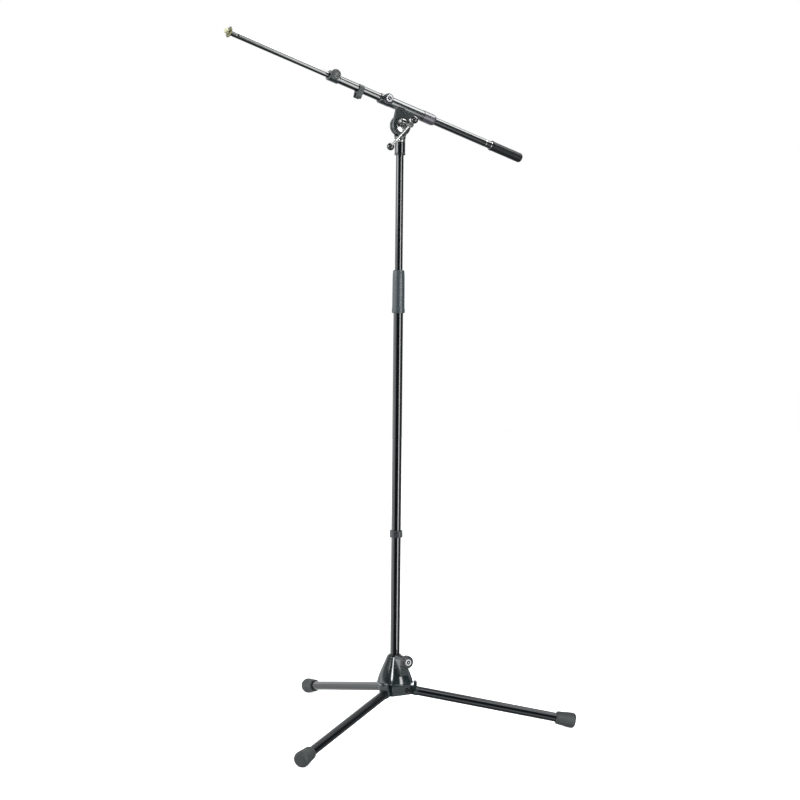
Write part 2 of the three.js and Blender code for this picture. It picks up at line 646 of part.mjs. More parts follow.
// Swinging half of the tilt joint: a plate in front of the friction disc, under a sleeve.
function boomYoke() {
  const plate = new THREE.Shape();
  const top = BOOM_OFFSET - 3;
  const rearMeet = Math.atan2(15.3, 10.4);
  plate.moveTo(-20.7, top);
  plate.lineTo(-LUG_R, 2);
  plate.absarc(0, 0, LUG_R, Math.PI, 2 * Math.PI + rearMeet, false);
  plate.lineTo(20.7, 27);
  plate.lineTo(20.7, top);
  const plateFar = LUG_INNER_Y + LUG_THICKNESS;
  const slab = extrudedAlongY(plate, -plateFar, -LUG_INNER_Y, 18);
  const groove = box(13, 5, 2.2, -7.5, -plateFar, 23.6);
  const sleeve = turnedAlongX(
    [[0, SLEEVE_FRONT - 4], [8, SLEEVE_FRONT - 4], [8, SLEEVE_FRONT], [SLEEVE_R, SLEEVE_FRONT],
      [SLEEVE_R, SLEEVE_REAR], [8, SLEEVE_REAR], [8, SLEEVE_REAR + 4], [0, SLEEVE_REAR + 4]],
  ).translate([0, 0, BOOM_OFFSET]);
  const bore = turnedAlongX(bar(OUTER_TUBE_R + RUNNING_GAP, -60, 60))
    .translate([0, 0, BOOM_OFFSET]);
  const screwHole = turnedAlongMinusY(bar(PIVOT_SCREW_R + GAP, -20, 20), 20);
  const yoke = slab.subtract(groove).add(sleeve).subtract(bore).subtract(screwHole);
  return part('boom_yoke', yoke, castBlack);
}

// Clamp body round a tube, hanging `drop` below it, with a boss towards -Y for its knob.
function clampBody(place, bore) {
  const { front, rear, knobX, drop, knobZ } = place;
  const shell = turnedAlongX(
    [[0, front], [CLAMP_R - 1, front], [CLAMP_R, front + 1], [CLAMP_R, rear - 1],
      [CLAMP_R - 1, rear], [0, rear]],
  ).translate([0, 0, -drop]);
  const boss = turnedAlongMinusY([[0, 0], [7.6, 0], [7.6, 10.6], [7, 11.4], [0, 11.4]], 16)
    .translate([knobX, 0, knobZ]);
  const screwHole = turnedAlongMinusY(bar(2.5 + GAP, 0, 14), SMALL_ROUND)
    .translate([knobX, 0, knobZ]);
  return shell.add(boss).subtract(bore).subtract(screwHole);
}

function clampKnob(place, names, tubeR) {
  const near = 11.9;
  const far = 19.4;
  const hasCap = names.cap !== undefined;
  const capR = 6.4;
  const recess = hasCap ? 1.4 : 0.8;
  const body = knobBody(CLAMP_KNOB_R, near, far, hasCap ? 14 : 20, hasCap ? capR + GAP : 5.8, recess)
    .subtract(turnedAlongMinusY(bar(2.5 + GAP, near - 1, near + 5), SMALL_ROUND));
  const screw = turnedAlongMinusY(
    [[0, tubeR + GAP], [2, tubeR + GAP], [2.5, tubeR + GAP + 0.5], [2.5, near + 4.5],
      [0, near + 4.5]],
    SMALL_ROUND,
  );
  const pieces = [part(names.knob, body, knobPlastic), part(names.screw, screw, chrome)];
  if (hasCap) {
    const cap = turnedAlongMinusY(
      [[0, far - recess + GAP], [capR, far - recess + GAP], [capR, far + 0.2],
        [capR - 0.5, far + 0.6], [0, far + 0.6]],
    );
    pieces.push(part(names.cap, cap, capSilver));
  }
  const group = groupOf(...pieces);
  group.position.set(place.knobX, 0, BOOM_OFFSET + place.knobZ);
  return group;
}

function mountClamp() {
  const bore = turnedAlongX(bar(OUTER_TUBE_R + RUNNING_GAP, -80, 0))
    .add(turnedAlongX(bar(8 + GAP, SLEEVE_FRONT - 4 - GAP, 0)));
  const body = part('mount_clamp_body', clampBody(MOUNT_CLAMP, bore), castBlack);
  body.position.z = BOOM_OFFSET;
  const knob = { knob: 'mount_clamp_knob', screw: 'mount_clamp_screw', cap: 'mount_clamp_cap' };
  return groupOf(body, clampKnob(MOUNT_CLAMP, knob, OUTER_TUBE_R));
}

function rearBush() {
  const start = SLEEVE_REAR + GAP;
  const end = 65;
  const bush = turnedAlongX(
    [[8 + GAP, start], [10.4, start], [10.4, end - 4], [9.2, end], [OUTER_TUBE_R + RUNNING_GAP, end],
      [OUTER_TUBE_R + RUNNING_GAP, start + 4.3], [8 + GAP, start + 4.3], [8 + GAP, start]],
  ).translate([0, 0, BOOM_OFFSET]);
  return part('sleeve_rear_bush', bush, glossBlack);
}

function outerBoom() {
  const tube = pipe(
    OUTER_TUBE_R - OUTER_TUBE_WALL, OUTER_TUBE_R, OUTER_TUBE_FRONT, OUTER_TUBE_REAR,
  );
  const bore = turnedAlongX(bar(OUTER_TUBE_R + 0.15, OUTER_TUBE_FRONT - GAP, -100))
    .add(turnedAlongX(bar(INNER_TUBE_R + RUNNING_GAP, -200, -100)));
  const grip = turnedAlongX(
    [[OUTER_TUBE_R + 0.15, GRIP_FRONT], [GRIP_R, GRIP_FRONT], [GRIP_R + 0.5, GRIP_FRONT + 0.8],
      [GRIP_R + 0.5, GRIP_FRONT + 3], [GRIP_R, GRIP_FRONT + 4],
      [GRIP_R, GRIP_REAR - 2], [GRIP_R - 2, GRIP_REAR], [0, GRIP_REAR],
      [0, OUTER_TUBE_REAR + GAP], [OUTER_TUBE_R + 0.15, OUTER_TUBE_REAR + GAP],
      [OUTER_TUBE_R + 0.15, GRIP_FRONT]],
  );
  const ring = turnedAlongX(pipe(OUTER_TUBE_R + 0.15, 8, GRIP_FRONT - 2.3, GRIP_FRONT - GAP));
  const along = groupOf(
    part('boom_outer_tube', turnedAlongX(tube), glossBlack),
    part('tip_clamp_body', clampBody(TIP_CLAMP, bore), castBlack),
    part('boom_grip', grip, rubber),
    part('boom_grip_ring', ring, capSilver),
  );
  along.position.z = BOOM_OFFSET;
  const knob = { knob: 'tip_clamp_knob', screw: 'tip_clamp_screw' };
  return groupOf(along, clampKnob(TIP_CLAMP, knob, INNER_TUBE_R));
}

function innerBoom() {
  const inner = INNER_TUBE_R - INNER_TUBE_WALL;
  const tube = pipe(inner, INNER_TUBE_R, INNER_TUBE_FRONT, INNER_TUBE_REAR);
  const bushR = OUTER_TUBE_R - OUTER_TUBE_WALL - RUNNING_GAP;
  const bush = turnedAlongX(
    [[0, INNER_TUBE_REAR - 12], [inner - GAP, INNER_TUBE_REAR - 12],
      [inner - GAP, INNER_TUBE_REAR + GAP], [bushR, INNER_TUBE_REAR + GAP],
      [bushR, INNER_TUBE_REAR + 6], [bushR - 0.7, INNER_TUBE_REAR + 7], [0, INNER_TUBE_REAR + 7]],
    20,
  );
  const flangeFront = INNER_TUBE_FRONT - 3.2;
  const studEnd = flangeFront - 6.7;
  const stud = turnedAlongX(
    [[0, studEnd], [4, studEnd], [4.76, studEnd + 0.8], [4.76, INNER_TUBE_FRONT - GAP],
      [inner - GAP, INNER_TUBE_FRONT - GAP], [inner - GAP, INNER_TUBE_FRONT + 14],
      [0, INNER_TUBE_FRONT + 14]],
    16,
  );
  const flange = turnedAlongX(
    [[5.06, flangeFront], [9.2, flangeFront], [10, flangeFront + 0.8],
      [10, INNER_TUBE_FRONT - GAP - 0.8], [9.2, INNER_TUBE_FRONT - GAP],
      [5.06, INNER_TUBE_FRONT - GAP], [5.06, flangeFront]],
  );
  const along = groupOf(
    part('boom_inner_tube', turnedAlongX(tube), glossBlack),
    part('boom_inner_bush', bush, darkPlastic),
    part('tip_stud', stud, zinc),
    part('tip_lock_ring', flange, zinc),
  );
  along.position.z = BOOM_OFFSET;
  return along;
}

// Snap-on cable clip: a spring ring open at the top, and below it a channel that the cable snaps
// into from underneath, past two lips. Drawn across the boom.
function cableClip() {
  const ringR = 9.3;
  const hookBottom = -18.2;
  const hookSide = 6.2;
  const outline = new THREE.Shape();
  outline.absarc(0, 0, ringR, -0.6, Math.PI + 0.6, false);
  outline.lineTo(-hookSide, hookBottom + 2);
  outline.lineTo(-hookSide + 2, hookBottom);
  outline.lineTo(hookSide - 1, hookBottom);
  outline.lineTo(hookSide, hookBottom + 1);
  const options = { depth: CLIP_WIDTH, bevelEnabled: false, curveSegments: 14 };
  const geometry = new THREE.ExtrudeGeometry(outline, options)
    .rotateX(Math.PI / 2)
    .rotateZ(Math.PI / 2)
    .translate(CLIP_CENTRE - CLIP_WIDTH / 2, 0, 0);
  const bore = turnedAlongX(bar(OUTER_TUBE_R + 0.15, CLIP_CENTRE - 8, CLIP_CENTRE + 8));
  const lipTop = hookBottom + 1.4;
  const channelHeight = CLIP_CHANNEL_TOP - lipTop;
  const channel = box(
    CLIP_WIDTH + 2, CLIP_CHANNEL_WIDTH, channelHeight, CLIP_CENTRE, 0, lipTop + channelHeight / 2,
  );
  const channelMouth = box(CLIP_WIDTH + 2, CLIP_MOUTH, 4, CLIP_CENTRE, 0, lipTop - 1);
  const ringMouth = box(CLIP_WIDTH + 2, 20, 10, CLIP_CENTRE, 0, 6.5 + 5);
  const body = solid(geometry).subtract(bore).subtract(channel).subtract(channelMouth)
    .subtract(ringMouth);
  const clip = part('cable_clip', body, darkPlastic);
  clip.position.z = BOOM_OFFSET;
  return clip;
}

function boom() {
  const group = groupOf(
    boomYoke(), mountClamp(), rearBush(), outerBoom(), innerBoom(), cableClip(),
  );
  group.position.z = PIVOT_Z;
  group.rotation.y = BOOM_TILT;
  return group;
}

// ---------------------------------------------------------------- the stand

const stand = groupOf(
  baseCasting(),
  baseBush(),
  baseKnob(),
  ...Object.keys(LEG_AZIMUTHS).map(leg),
  lowerTube(),
  stopRing(),
  clutch(),
  upperTube(),
  head(),
  tScrew(),
  boom(),
);

export default stand;
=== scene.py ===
# Boom microphone stand: fine pieces, finishes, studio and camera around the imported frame.
import math

import bmesh
import bpy
from mathutils import Matrix, Vector


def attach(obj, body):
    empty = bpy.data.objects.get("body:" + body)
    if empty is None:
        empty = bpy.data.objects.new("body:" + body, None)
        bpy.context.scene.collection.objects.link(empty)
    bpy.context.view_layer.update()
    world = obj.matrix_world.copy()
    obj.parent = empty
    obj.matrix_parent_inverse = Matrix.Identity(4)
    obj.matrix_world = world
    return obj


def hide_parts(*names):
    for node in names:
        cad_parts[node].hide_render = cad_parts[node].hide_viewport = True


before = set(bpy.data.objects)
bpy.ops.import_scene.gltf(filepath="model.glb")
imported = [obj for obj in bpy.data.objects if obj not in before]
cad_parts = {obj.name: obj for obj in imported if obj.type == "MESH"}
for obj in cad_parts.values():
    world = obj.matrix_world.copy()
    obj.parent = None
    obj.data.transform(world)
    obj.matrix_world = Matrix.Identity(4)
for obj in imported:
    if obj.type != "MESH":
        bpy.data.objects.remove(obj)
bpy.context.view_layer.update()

MM = 0.001
TAU = 2 * math.pi
scene = bpy.context.scene

# ------------------------------------------------------------------ sizes, in millimetres

GAP = 0.3  # clearance between neighbouring pieces
RUN = 0.2  # clearance of a tube in its guide
LOWER_R, LOWER_WALL, LOWER_TOP = 8.8, 1.0, 812.0
UPPER_R, UPPER_WALL, UPPER_BOTTOM = 7.0, 0.9, 300.0
STOP_RING_Z = 362.5
CLUTCH_BOTTOM, CLUTCH_TOP = 770.0, 848.8
RIBS_BOTTOM, RIBS_TOP = CLUTCH_BOTTOM + 9, 838
CAST_BOTTOM, CAST_TOP, RIM_Z = 63.0, 135.4, 85.0
LEG_AZIMUTH = {"right": -30, "rear": 90, "left": 210}
FACET_R, LEG_FACE_R, HINGE_R = 24.0, 29.0, 23.8
LEG_SLOPE = math.radians(10.8)
FOOT_TIP_R, FOOT_TIP_Z = 338.0, 12.2
HINGE_Z = FOOT_TIP_Z + (FOOT_TIP_R - HINGE_R) * math.tan(LEG_SLOPE)
LEG_LENGTH = (FOOT_TIP_R - HINGE_R) / math.cos(LEG_SLOPE)
LEG_R, LEG_WALL, LEG_START, LEG_END = 8.5, 1.0, 22.0, LEG_LENGTH - 11.5
FLANGE_NEAR, FLANGE_FAR = 11.5, 17.7
FOOT_LENGTH, FOOT_R = 37.0, 14.3
SLOT_HALF = 6.3
PIN_R, PIN_HEAD_R, PIN_HEAD_Y = 2.5, 4.6, 12.2
KNOB_Z, KNOB_R, KNOB_SCREW_R = 130.0, 12.0, 4.0
HEAD_BOTTOM, NECK_BOTTOM, PIVOT_Z = 1057.5, 1086.4, 1111.0
STUD_BORE = 5.0
LUG_R, LUG_T, LUG_Y = 18.5, 6.5, 1.0
SCREW_R = 4.0
WASHER_BACK, WASHER_FACE = 7.8, 9.7
T_HEAD_Y = 34.5
BAR_ANGLE = math.radians(45)
BAR_SPAN, BALL_R, BALL_STOP = 70.8, 6.9, 12.8
TILT = math.radians(17.4)
OFFSET = 33.6  # of the boom's axis above the pivot
# Along the boom, sizes are from the pivot, with the tip's side negative.
SLEEVE_FRONT, SLEEVE_REAR, SLEEVE_R = -33.7, 38.1, 9.7
OUTER_R, OUTER_WALL, OUTER_FRONT, OUTER_REAR = 7.2, 0.9, -153.0, 265.0
INNER_R, INNER_WALL, INNER_FRONT, INNER_REAR = 5.2, 0.8, -372.7, 20.0
CLAMP_R, CLAMP_KNOB_R, CLAMP_SCREW_R = 9.4, 9.2, 2.5
LINER = 0.15  # of the grip, the cable clip and the tip clamp on the boom
# The sleeve's thinner ends, over which the mount clamp and the rear bush fit.
SPIGOT_R, SPIGOT_FRONT, SPIGOT_REAR = 8.0, SLEEVE_FRONT - 4, SLEEVE_REAR + 4
MOUNT = dict(front=-58.0, rear=-34.0, x=-47.0, drop=1.0, z=0.4)
TIP = dict(front=-169.0, rear=-147.0, x=-162.4, drop=-0.2, z=2.6)
STUD_R = 4.76  # of the 3/8 inch microphone thread
CLIP_X, CLIP_W = -100.5, 10.4
GRIP_FRONT, GRIP_REAR, GRIP_R = 198.5, 270.5, 9.0

# ------------------------------------------------------------------ places

HERE = Matrix.Identity(4)
TO_X = Matrix.Rotation(math.pi / 2, 4, "Y")  # a turned piece's axis along X
TO_FRONT = Matrix.Rotation(math.pi / 2, 4, "X")  # the same along -Y; an outline upright in XZ
# An outline drawn in YZ, its depth along X.
YZ_TO_X = Matrix(((0, 0, 1, 0), (1, 0, 0, 0), (0, 1, 0, 0), (0, 0, 0, 1)))


def at(x, y, z):
    return Matrix.Translation((x, y, z))


BOOM = at(0, 0, PIVOT_Z) @ Matrix.Rotation(TILT, 4, "Y")
BOOM_AXIS = BOOM @ at(0, 0, OFFSET)
ALONG_BOOM = BOOM_AXIS @ TO_X
PIVOT = at(0, 0, PIVOT_Z) @ TO_FRONT
BASE_KNOB = at(0, 0, KNOB_Z) @ TO_FRONT


def leg_place(side):
    """A leg's hinge in the stand, and its slope about the hinge."""
    turn = Matrix.Rotation(math.radians(LEG_AZIMUTH[side]), 4, "Z")
    return turn @ at(HINGE_R, 0, HINGE_Z), Matrix.Rotation(LEG_SLOPE, 4, "Y")


# ------------------------------------------------------------------ mesh tools

TINY = 1e-6
CLEAR_TURN = 0.2  # corners that turn less than this, in radians, stay as they are
CUT_SHARE = 0.42  # of a side, at most, that a rounded corner takes
BEVEL_FROM = 0.45  # edges that fold less than this, in radians, stay sharp


def softened(profile, radius, closed, steps=3):
    """The same profile with each clear corner rounded off."""
    points = [Vector((p[0], p[1])) for p in profile]
    count = len(points)
    out = []
    for i, p in enumerate(points):
        if not closed and i in (0, count - 1):
            out.append(p)
            continue
        a, b = points[i - 1], points[(i + 1) % count]
        back, on = a - p, b - p
        if min(back.length, on.length, p.x) < TINY or math.pi - back.angle(on) < CLEAR_TURN:
            out.append(p)
            continue
        cut = min(radius, CUT_SHARE * back.length, CUT_SHARE * on.length)
        start, end = p + back.normalized() * cut, p + on.normalized() * cut
        for k in range(steps + 1):
            t = k / steps
            out.append(start * (1 - t) ** 2 + p * 2 * t * (1 - t) + end * t ** 2)
    return out


def made(name, bm, place, sharp=32):
    """A mesh object from millimetre geometry, set in its place in metres."""
    bmesh.ops.transform(bm, matrix=Matrix.Scale(MM, 4) @ place, verts=bm.verts)
    bmesh.ops.recalc_face_normals(bm, faces=bm.faces)
    mesh = bpy.data.meshes.new(name)
    bm.to_mesh(mesh)
    bm.free()
    piece = bpy.data.objects.new(name, mesh)
    scene.collection.objects.link(piece)
    shade(piece, sharp)
    return piece


def shade(piece, sharp=32):
    """Smooth faces, with edges that fold more than sharp degrees left sharp."""
    mesh = piece.data
    mesh.polygons.foreach_set("use_smooth", [True] * len(mesh.polygons))
    mesh.set_sharp_from_angle(angle=math.radians(sharp))
    if "even shading" not in piece.modifiers:
        even = piece.modifiers.new("even shading", "WEIGHTED_NORMAL")
        even.keep_sharp = True


def turned(name, profile, place=HERE, sides=72, closed=False, soft=0.4, warp=None, sharp=32):
    """A turned piece about its local Z. warp(radius, height, angle) may change a radius."""
    points = softened(profile, soft, closed) if soft else [Vector((p[0], p[1])) for p in profile]
    bm = bmesh.new()
    rings = []
    for p in points:
        if p.x < TINY:
            rings.append([bm.verts.new((0, 0, p.y))])
            continue
        ring = []
        for k in range(sides):
            angle = TAU * k / sides
            r = warp(p.x, p.y, angle) if warp else p.x
            ring.append(bm.verts.new((r * math.cos(angle), r * math.sin(angle), p.y)))
        rings.append(ring)
    for low, high in zip(rings, rings[1:] + rings[:1] if closed else rings[1:]):
        if len(low) == 1 and len(high) == 1:
            continue
        for k in range(sides):
            n = (k + 1) % sides
            if len(low) == 1:
                bm.faces.new((low[0], high[k], high[n]))
            elif len(high) == 1:
                bm.faces.new((low[k], low[n], high[0]))
            else:
                bm.faces.new((low[k], low[n], high[n], high[k]))
    return made(name, bm, place, sharp)


def bar(r, a, b):
    """The profile of a solid rod."""
    return [(0, a), (r, a), (r, b), (0, b)]


def pipe(inner, outer, a, b):
    """The closed profile of a tube."""
    return [(inner, a), (outer, a), (outer, b), (inner, b)]


def drill(r, a, b, place=HERE, sides=32):
    """A plain cylinder to cut with."""
    return turned("drill", bar(r, a, b), place, sides=sides, soft=0)


def slab(name, outline, low, high, place=HERE, bevel=0.5):
    """A flat outline extruded along its local Z, with its edges rounded."""
    bm = bmesh.new()
    base = bm.faces.new([bm.verts.new((x, y, low)) for x, y in outline])
    top = bmesh.ops.extrude_face_region(bm, geom=[base])
    raised = [v for v in top["geom"] if isinstance(v, bmesh.types.BMVert)]
    bmesh.ops.translate(bm, vec=(0, 0, high - low), verts=raised)
    bmesh.ops.recalc_face_normals(bm, faces=bm.faces)
    if bevel:
        edges = [e for e in bm.edges if len(e.link_faces) == 2 and e.calc_face_angle() > BEVEL_FROM]
        bmesh.ops.bevel(bm, geom=edges, offset=bevel, segments=3, profile=0.5, affect="EDGES",
                        clamp_overlap=True)
    return made(name, bm, place)


def block(name, size, centre, place=HERE, bevel=0.0):
    """A box of the given size about a centre."""
    x, y = size[0] / 2, size[1] / 2
    outline = [(-x, -y), (x, -y), (x, y), (-x, y)]
    return slab(name, outline, -size[2] / 2, size[2] / 2, place @ at(*centre), bevel)


def arc(cx, cy, r, start, end, steps):
    """Points of an arc, angles in degrees."""
    out = []
    for k in range(steps + 1):
        a = math.radians(start + (end - start) * k / steps)
        out.append((cx + r * math.cos(a), cy + r * math.sin(a)))
    return out


def combined(piece, others, how="DIFFERENCE", sharp=32):
    """piece with the others cut out of it, or joined on."""
    for other in others:
        step = piece.modifiers.new("combine", "BOOLEAN")
        step.object = other
        step.operation = how
        step.solver = "MANIFOLD"
    even = piece.modifiers.get("even shading")
    if even:
        piece.modifiers.remove(even)
    bpy.context.view_layer.update()
    graph = bpy.context.evaluated_depsgraph_get()
    mesh = bpy.data.meshes.new_from_object(piece.evaluated_get(graph))
    piece.modifiers.clear()
    piece.data = mesh
    for other in others:
        bpy.data.objects.remove(other)
    shade(piece, sharp)
    return piece


def placed(piece, body, slot, finish, *nodes):
    """Rides on its body, stands for its CAD nodes and takes its finish."""
    piece.data.materials.clear()
    piece.data.materials.append(FINISH[finish])
    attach(piece, body)
    if nodes:
        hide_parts(*nodes)


# ------------------------------------------------------------------ finishes

GLOSS_FINER = 2.3  # the noise in a gloss, against the one in its colour
FLECK_FROM, FLECK_TO = 0.58, 0.72  # where the fleck noise starts to show, and shows in full
FLECK_GAIN, FLECK_LIFT, FLECK_SCALE = 3, 0.12, 2500.0
GLOSSIEST = 0.02


def finish_of(name, colour, rough, metal=0.0, ior=1.5, mottle=0.15, mottle_scale=60.0,
              rough_spread=0.06, bump=0.05, bump_scale=900.0, bump_mm=0.02, fleck=0.0):
    """A moulded, cast, plated or painted surface: uneven colour, uneven gloss and a fine relief."""
    mat = bpy.data.materials.new(name)
    mat.use_nodes = True
    nodes, links = mat.node_tree.nodes, mat.node_tree.links
    nodes.clear()
    out = nodes.new("ShaderNodeOutputMaterial")
    shader = nodes.new("ShaderNodeBsdfPrincipled")
    shader.inputs["Metallic"].default_value = metal
    shader.inputs["IOR"].default_value = ior
    links.new(shader.outputs[0], out.inputs[0])
    where = nodes.new("ShaderNodeTexCoord")

    def noise(scale, detail, roughness=0.5):
        node = nodes.new("ShaderNodeTexNoise")
        node.inputs["Scale"].default_value = scale
        node.inputs["Detail"].default_value = detail
        node.inputs["Roughness"].default_value = roughness
        links.new(where.outputs["Object"], node.inputs["Vector"])
        return node.outputs["Fac"]

    def ranged(value, low, high, start=0.0, end=1.0):
        node = nodes.new("ShaderNodeMapRange")
        ends = {"From Min": start, "From Max": end, "To Min": low, "To Max": high}
        for socket, end_value in ends.items():
            node.inputs[socket].default_value = end_value
        links.new(value, node.inputs["Value"])
        return node.outputs["Result"]

    def blended(factor, second):
        node = nodes.new("ShaderNodeMix")
        node.data_type = "RGBA"
        node.inputs["B"].default_value = (*[min(1, c) for c in second], 1)
        links.new(factor, node.inputs["Factor"])
        return node

    tone = blended(noise(mottle_scale, 5, 0.6), [c * (1 + mottle) for c in colour])
    tone.inputs["A"].default_value = (*[c * (1 - mottle) for c in colour], 1)
    if fleck:
        plain = tone
        shown = ranged(noise(FLECK_SCALE, 2), 0, fleck, FLECK_FROM, FLECK_TO)
        tone = blended(shown, [c * FLECK_GAIN + FLECK_LIFT for c in colour])
        links.new(plain.outputs["Result"], tone.inputs["A"])
    links.new(tone.outputs["Result"], shader.inputs["Base Color"])

    gloss = noise(mottle_scale * GLOSS_FINER, 4)
    spread = ranged(gloss, max(GLOSSIEST, rough - rough_spread), min(1, rough + rough_spread))
    links.new(spread, shader.inputs["Roughness"])

    relief = nodes.new("ShaderNodeBump")
    relief.inputs["Strength"].default_value = bump
    relief.inputs["Distance"].default_value = bump_mm * MM
    links.new(noise(bump_scale, 3), relief.inputs["Height"])
    links.new(relief.outputs["Normal"], shader.inputs["Normal"])
    return mat


FINISH = {
    "enamel": finish_of("gloss_enamel", (0.0012, 0.0019, 0.0024), 0.15, mottle=0.3, mottle_scale=35,
                        rough_spread=0.03, bump=0.12, bump_scale=420, bump_mm=0.005),
    "cast": finish_of("cast_enamel", (0.0065, 0.0098, 0.0102), 0.15, mottle=0.2, mottle_scale=80,
                      rough_spread=0.03, bump=0.08, bump_scale=600, bump_mm=0.005, fleck=0.02),
    "clutch": finish_of("clutch_plastic", (0.0105, 0.017, 0.021), 0.42, mottle=0.12,
                        mottle_scale=120, bump=0.2, bump_scale=1500, bump_mm=0.007),
    "knob": finish_of("knob_plastic", (0.026, 0.028, 0.0275), 0.45, mottle=0.12, mottle_scale=150,
                      bump=0.2, bump_scale=1500, bump_mm=0.008, fleck=0.06, ior=1.36),
    "black": finish_of("black_plastic", (0.0022, 0.0024, 0.0027), 0.28, mottle=0.2,
                       mottle_scale=120, bump=0.2, bump_scale=1600, bump_mm=0.007, ior=1.4),
    "collar": finish_of("collar_plastic", (0.011, 0.0135, 0.0165), 0.3, mottle=0.2,
                        mottle_scale=120, bump=0.2, bump_scale=1600, bump_mm=0.007, ior=1.45),
    "ink": finish_of("inlay_black", (0.0015, 0.0015, 0.0016), 0.5, mottle=0.2,
                     mottle_scale=200, bump=0.1, bump_scale=1600, bump_mm=0.005, ior=1.2),
    "clip": finish_of("clip_plastic", (0.017, 0.022, 0.021), 0.5, mottle=0.15, mottle_scale=150,
                      bump=0.25, bump_scale=1600, bump_mm=0.01, fleck=0.06, ior=1.35),
    "rubber": finish_of("foot_rubber", (0.009, 0.0125, 0.0118), 0.58, mottle=0.2, mottle_scale=110,
                        bump=0.4, bump_scale=1500, bump_mm=0.02, fleck=0.2),
    "grip": finish_of("grip_rubber", (0.0022, 0.0034, 0.0038), 0.45, mottle=0.3, mottle_scale=60,
                      bump=0.35, bump_scale=1500, bump_mm=0.015, fleck=0.05, ior=1.25),
    "chrome": finish_of("chrome_plate", (0.6, 0.6, 0.59), 0.12, metal=1, mottle=0.05,
                        rough_spread=0.02, bump=0.05, bump_scale=400, bump_mm=0.003),
    "dark_steel": finish_of("dark_steel", (0.012, 0.0125, 0.013), 0.2, ior=1.7, mottle=0.2,
                            mottle_scale=200, bump=0.12, bump_scale=900, bump_mm=0.005),
    # The lock ring's finish is a darker, olive copy of the zinc plate: painted shade for the ring's
    # face turned away from the lamps.
    "lock_ring": finish_of("zinc_with_painted_shade", (0.085, 0.085, 0.045), 0.3, metal=1, mottle=0.25,
                           mottle_scale=300, bump=0.15, bump_scale=1500, bump_mm=0.007),
    "zinc": finish_of("zinc_plate", (0.38, 0.38, 0.26), 0.24, metal=1, mottle=0.2,
                      mottle_scale=300, bump=0.15, bump_scale=1500, bump_mm=0.007),
    "ball": finish_of("ball_plastic", (0.0012, 0.0012, 0.0014), 0.07, ior=1.55,
                      mottle=0.2, rough_spread=0.02, bump=0.05, bump_scale=600, bump_mm=0.003),
    "silver": finish_of("silver_cap", (0.3, 0.31, 0.32), 0.36, metal=0.35, mottle=0.06,
                        mottle_scale=200, bump=0.15, bump_scale=1600, bump_mm=0.006),
    "bush": finish_of("bush_plastic", (0.026, 0.0235, 0.03), 0.3, mottle=0.15, mottle_scale=200,
                      bump=0.12, bump_scale=1200, bump_mm=0.006),
    "cap_grey": finish_of("knob_cap_plastic", (0.07, 0.076, 0.07), 0.5, mottle=0.1,
                          mottle_scale=150, bump=0.15, bump_scale=1500, bump_mm=0.006, ior=1.36),
    "washer": finish_of("turned_washer", (0.3, 0.3, 0.29), 0.18, metal=1, mottle=0.1,
                        mottle_scale=250, rough_spread=0.02, bump=0.04, bump_scale=500,
                        bump_mm=0.003),
}

# ------------------------------------------------------------------ base


def base_casting():
    lobe, first_lobe = 0.015, math.radians(LEG_AZIMUTH["rear"])

    def lobed(r, z, angle):
        flare = max((CAST_TOP - z) / (CAST_TOP - RIM_Z), 0)
        return r * (1 + lobe * flare * math.cos(3 * (angle - first_lobe)))

    bell = turned(
        "base_casting_shell",
        [(0, RIM_Z - 3), (30.2, RIM_Z - 3), (34.1, RIM_Z - 0.2), (34.1, RIM_Z + 1.2),
         (33.3, RIM_Z + 2.2), (31.9, 93), (29.3, 100), (26.1, 108), (22.6, 116), (18.5, 125),
         (14.7, CAST_TOP - 1.2), (13.2, CAST_TOP), (0, CAST_TOP)],
        sides=120, soft=0.9, warp=lobed,
    )
    sixth = math.pi / 3
    half = (FACET_R - LEG_FACE_R * math.cos(sixth)) / math.sin(sixth)
    corners = []
    for degrees in LEG_AZIMUTH.values():
        turn = Matrix.Rotation(math.radians(degrees), 2)
        corners += [tuple(turn @ Vector((LEG_FACE_R, side))) for side in (-half, half)]
    skirt = slab("skirt", corners, CAST_BOTTOM, RIM_Z - 1, bevel=1.4)
    outline = [(-9, 103), (9, 103)] + arc(0, KNOB_Z, 9, 0, 180, 24)
    boss = slab("boss", outline, 10, 35, TO_FRONT, bevel=0.8)
    bell = combined(bell, [skirt, boss], "UNION")

    bore = LOWER_R + RUN
    cutters = [
        drill(bore, CAST_BOTTOM - 1, CAST_TOP + 10, sides=72),
        drill(bore + 2, CAST_TOP - 12, CAST_TOP + 10, sides=72),
        drill(KNOB_SCREW_R + GAP, 5, 36, BASE_KNOB),
    ]
    low, high = CAST_BOTTOM - 1, HINGE_Z + 10.4
    for degrees in LEG_AZIMUTH.values():
        turn = Matrix.Rotation(math.radians(degrees), 4, "Z")
        slot = (40, 2 * SLOT_HALF, high - CAST_BOTTOM + 1)
        cutters.append(block("slot", slot, (34.2, 0, (high + low) / 2), turn))
        pin = turn @ at(HINGE_R, 0, HINGE_Z) @ TO_FRONT
        cutters.append(drill(PIN_R + GAP, -12.9, 20, pin))
        cutters.append(drill(PIN_HEAD_R + GAP, PIN_HEAD_Y - GAP, 24, pin))
    return combined(bell, cutters)


def leg_pin(side):
    hinge, _ = leg_place(side)
    profile = [(0, -12.7), (PIN_R, -12.7), (PIN_R, PIN_HEAD_Y), (PIN_HEAD_R, PIN_HEAD_Y),
               (PIN_HEAD_R, 15.6), (3.9, 16.4), (2.3, 16.4), (1.9, 15.0), (0, 14.6)]
    return turned(f"leg_{side}_rivet", profile, hinge @ TO_FRONT, sides=40, soft=0.25)


